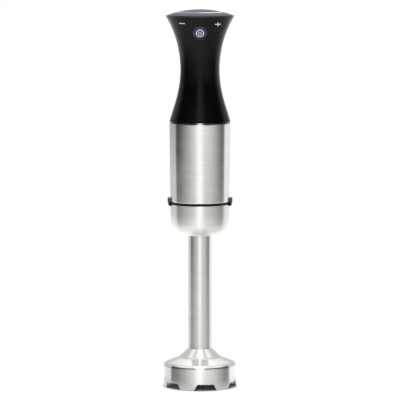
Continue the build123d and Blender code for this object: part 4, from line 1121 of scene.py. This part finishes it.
strip = ease(sum_of(sky, "ABSOLUTE", way["X"]), *STRIP_SIDES)
right = ease(way["X"], *RIGHT_HALF)
behind = ease(sum_of(sky, "MULTIPLY_ADD", right, BACKDROP_SLANT, way["Y"]), *BACKDROP_EDGE)
backdrop = merged(ease(way["Z"], *SWEEP_TOP), panels(BACK_PANELS), SWEEP)
backdrop = merged(ease(way["Z"], *BACKDROP_TOP), backdrop, OVERHEAD)
above = sum_of(sky, "MULTIPLY", ease(way["Z"], *PANEL_TOP), sum_of(sky, "SUBTRACT", 1.0, strip))
ahead = merged(above, panels(FRONT_PANELS), DARK_CEILING)
ahead = merged(ease(way["Z"], *CEILING_START), ahead, CEILING_FRONT)
ahead = merged(ease(way["Z"], *CEILING_END), ahead, OVERHEAD)
around = merged(behind, ahead, backdrop)
overhead = sum_of(sky, "MULTIPLY", ease(way["Z"], *STRIP_START), strip)
around = merged(overhead, around, OVERHEAD_STRIP)
around = merged(ease(way["Z"], *FLOOR_EDGE), around, panels(FLOOR_PANELS))
lit = node(sky, "ShaderNodeBackground", {"Color": LAMP_TINT, "Strength": around})
white = node(sky, "ShaderNodeBackground", {"Color": (1, 1, 1, 1), "Strength": 1.0})
seen = node(sky, "ShaderNodeLightPath").outputs["Is Camera Ray"]
both = node(sky, "ShaderNodeMixShader", {0: seen, 1: lit.outputs[0], 2: white.outputs[0]})
node(sky, "ShaderNodeOutputWorld", {"Surface": both.outputs[0]})

FLOOR_RADIUS = 100.0 * MM
FADE_FROM = 42.0 * MM
LIFT_FROM = 37.0 * MM
LIFT_TO = 41.0 * MM
LIFT = 0.4
floor = piece_of("floor", [])
disc = bmesh.new()
bmesh.ops.create_circle(disc, cap_ends=True, radius=FLOOR_RADIUS, segments=96)
disc.to_mesh(floor.data)
disc.free()
paper, tree, shader = new_finish(
    "white_paper", Roughness=0.9, Specular_IOR_Level=0.0, Base_Color=(0.8, 0.8, 0.8, 1.0),
    Emission_Color=(1.0, 1.0, 1.0, 1.0),
)
length = node(tree, "ShaderNodeVectorMath", {0: own_place(tree)}, operation="LENGTH")
from_middle = length.outputs["Value"]
fade = ramped(tree, from_middle, FADE_FROM, FLOOR_RADIUS, 1.0, 0.0, kind="SMOOTHSTEP")
outside = ramped(tree, from_middle, LIFT_FROM, LIFT_TO, 0.0, LIFT, kind="SMOOTHSTEP")
seen = node(tree, "ShaderNodeLightPath").outputs["Is Camera Ray"]
from_below = node(tree, "ShaderNodeNewGeometry").outputs["Backfacing"]
feed(
    tree, shader, Emission_Strength=sum_of(tree, "MULTIPLY", seen, outside),
    Alpha=sum_of(tree, "MULTIPLY", fade, sum_of(tree, "SUBTRACT", 1.0, from_below)),
)
floor.data.materials.append(paper)

LAMP_AIM = Vector((0.0, 0.0, 0.1))
lamp = bpy.data.objects.new("softbox", bpy.data.lights.new("softbox", "AREA"))
lamp.data.shape = "RECTANGLE"
lamp.data.size = 0.5
lamp.data.size_y = 1.4
lamp.data.energy = 4.0
lamp.location = (0.0, -0.25, 1.5)
lamp.rotation_euler = (LAMP_AIM - lamp.location).to_track_quat("-Z", "Y").to_euler()
scene.collection.objects.link(lamp)

# Camera: in front and a little above, with a long lens. The photograph is a tall picture pressed
# to a third of its height, so the camera keeps its rows and shows the blender in its true, slim
# proportions.
CAMERA_PLACE = Vector((0.0, -3.3, 0.53))
CAMERA_AIM = Vector((0.0, 0.0, 0.196))
camera = bpy.data.objects.new("camera", bpy.data.cameras.new("camera"))
camera.data.lens = 285.63
camera.data.sensor_width = 36.0
camera.location = CAMERA_PLACE
camera.rotation_euler = (CAMERA_AIM - CAMERA_PLACE).to_track_quat("-Z", "Y").to_euler()
scene.collection.objects.link(camera)
scene.camera = camera

bpy.context.view_layer.update()
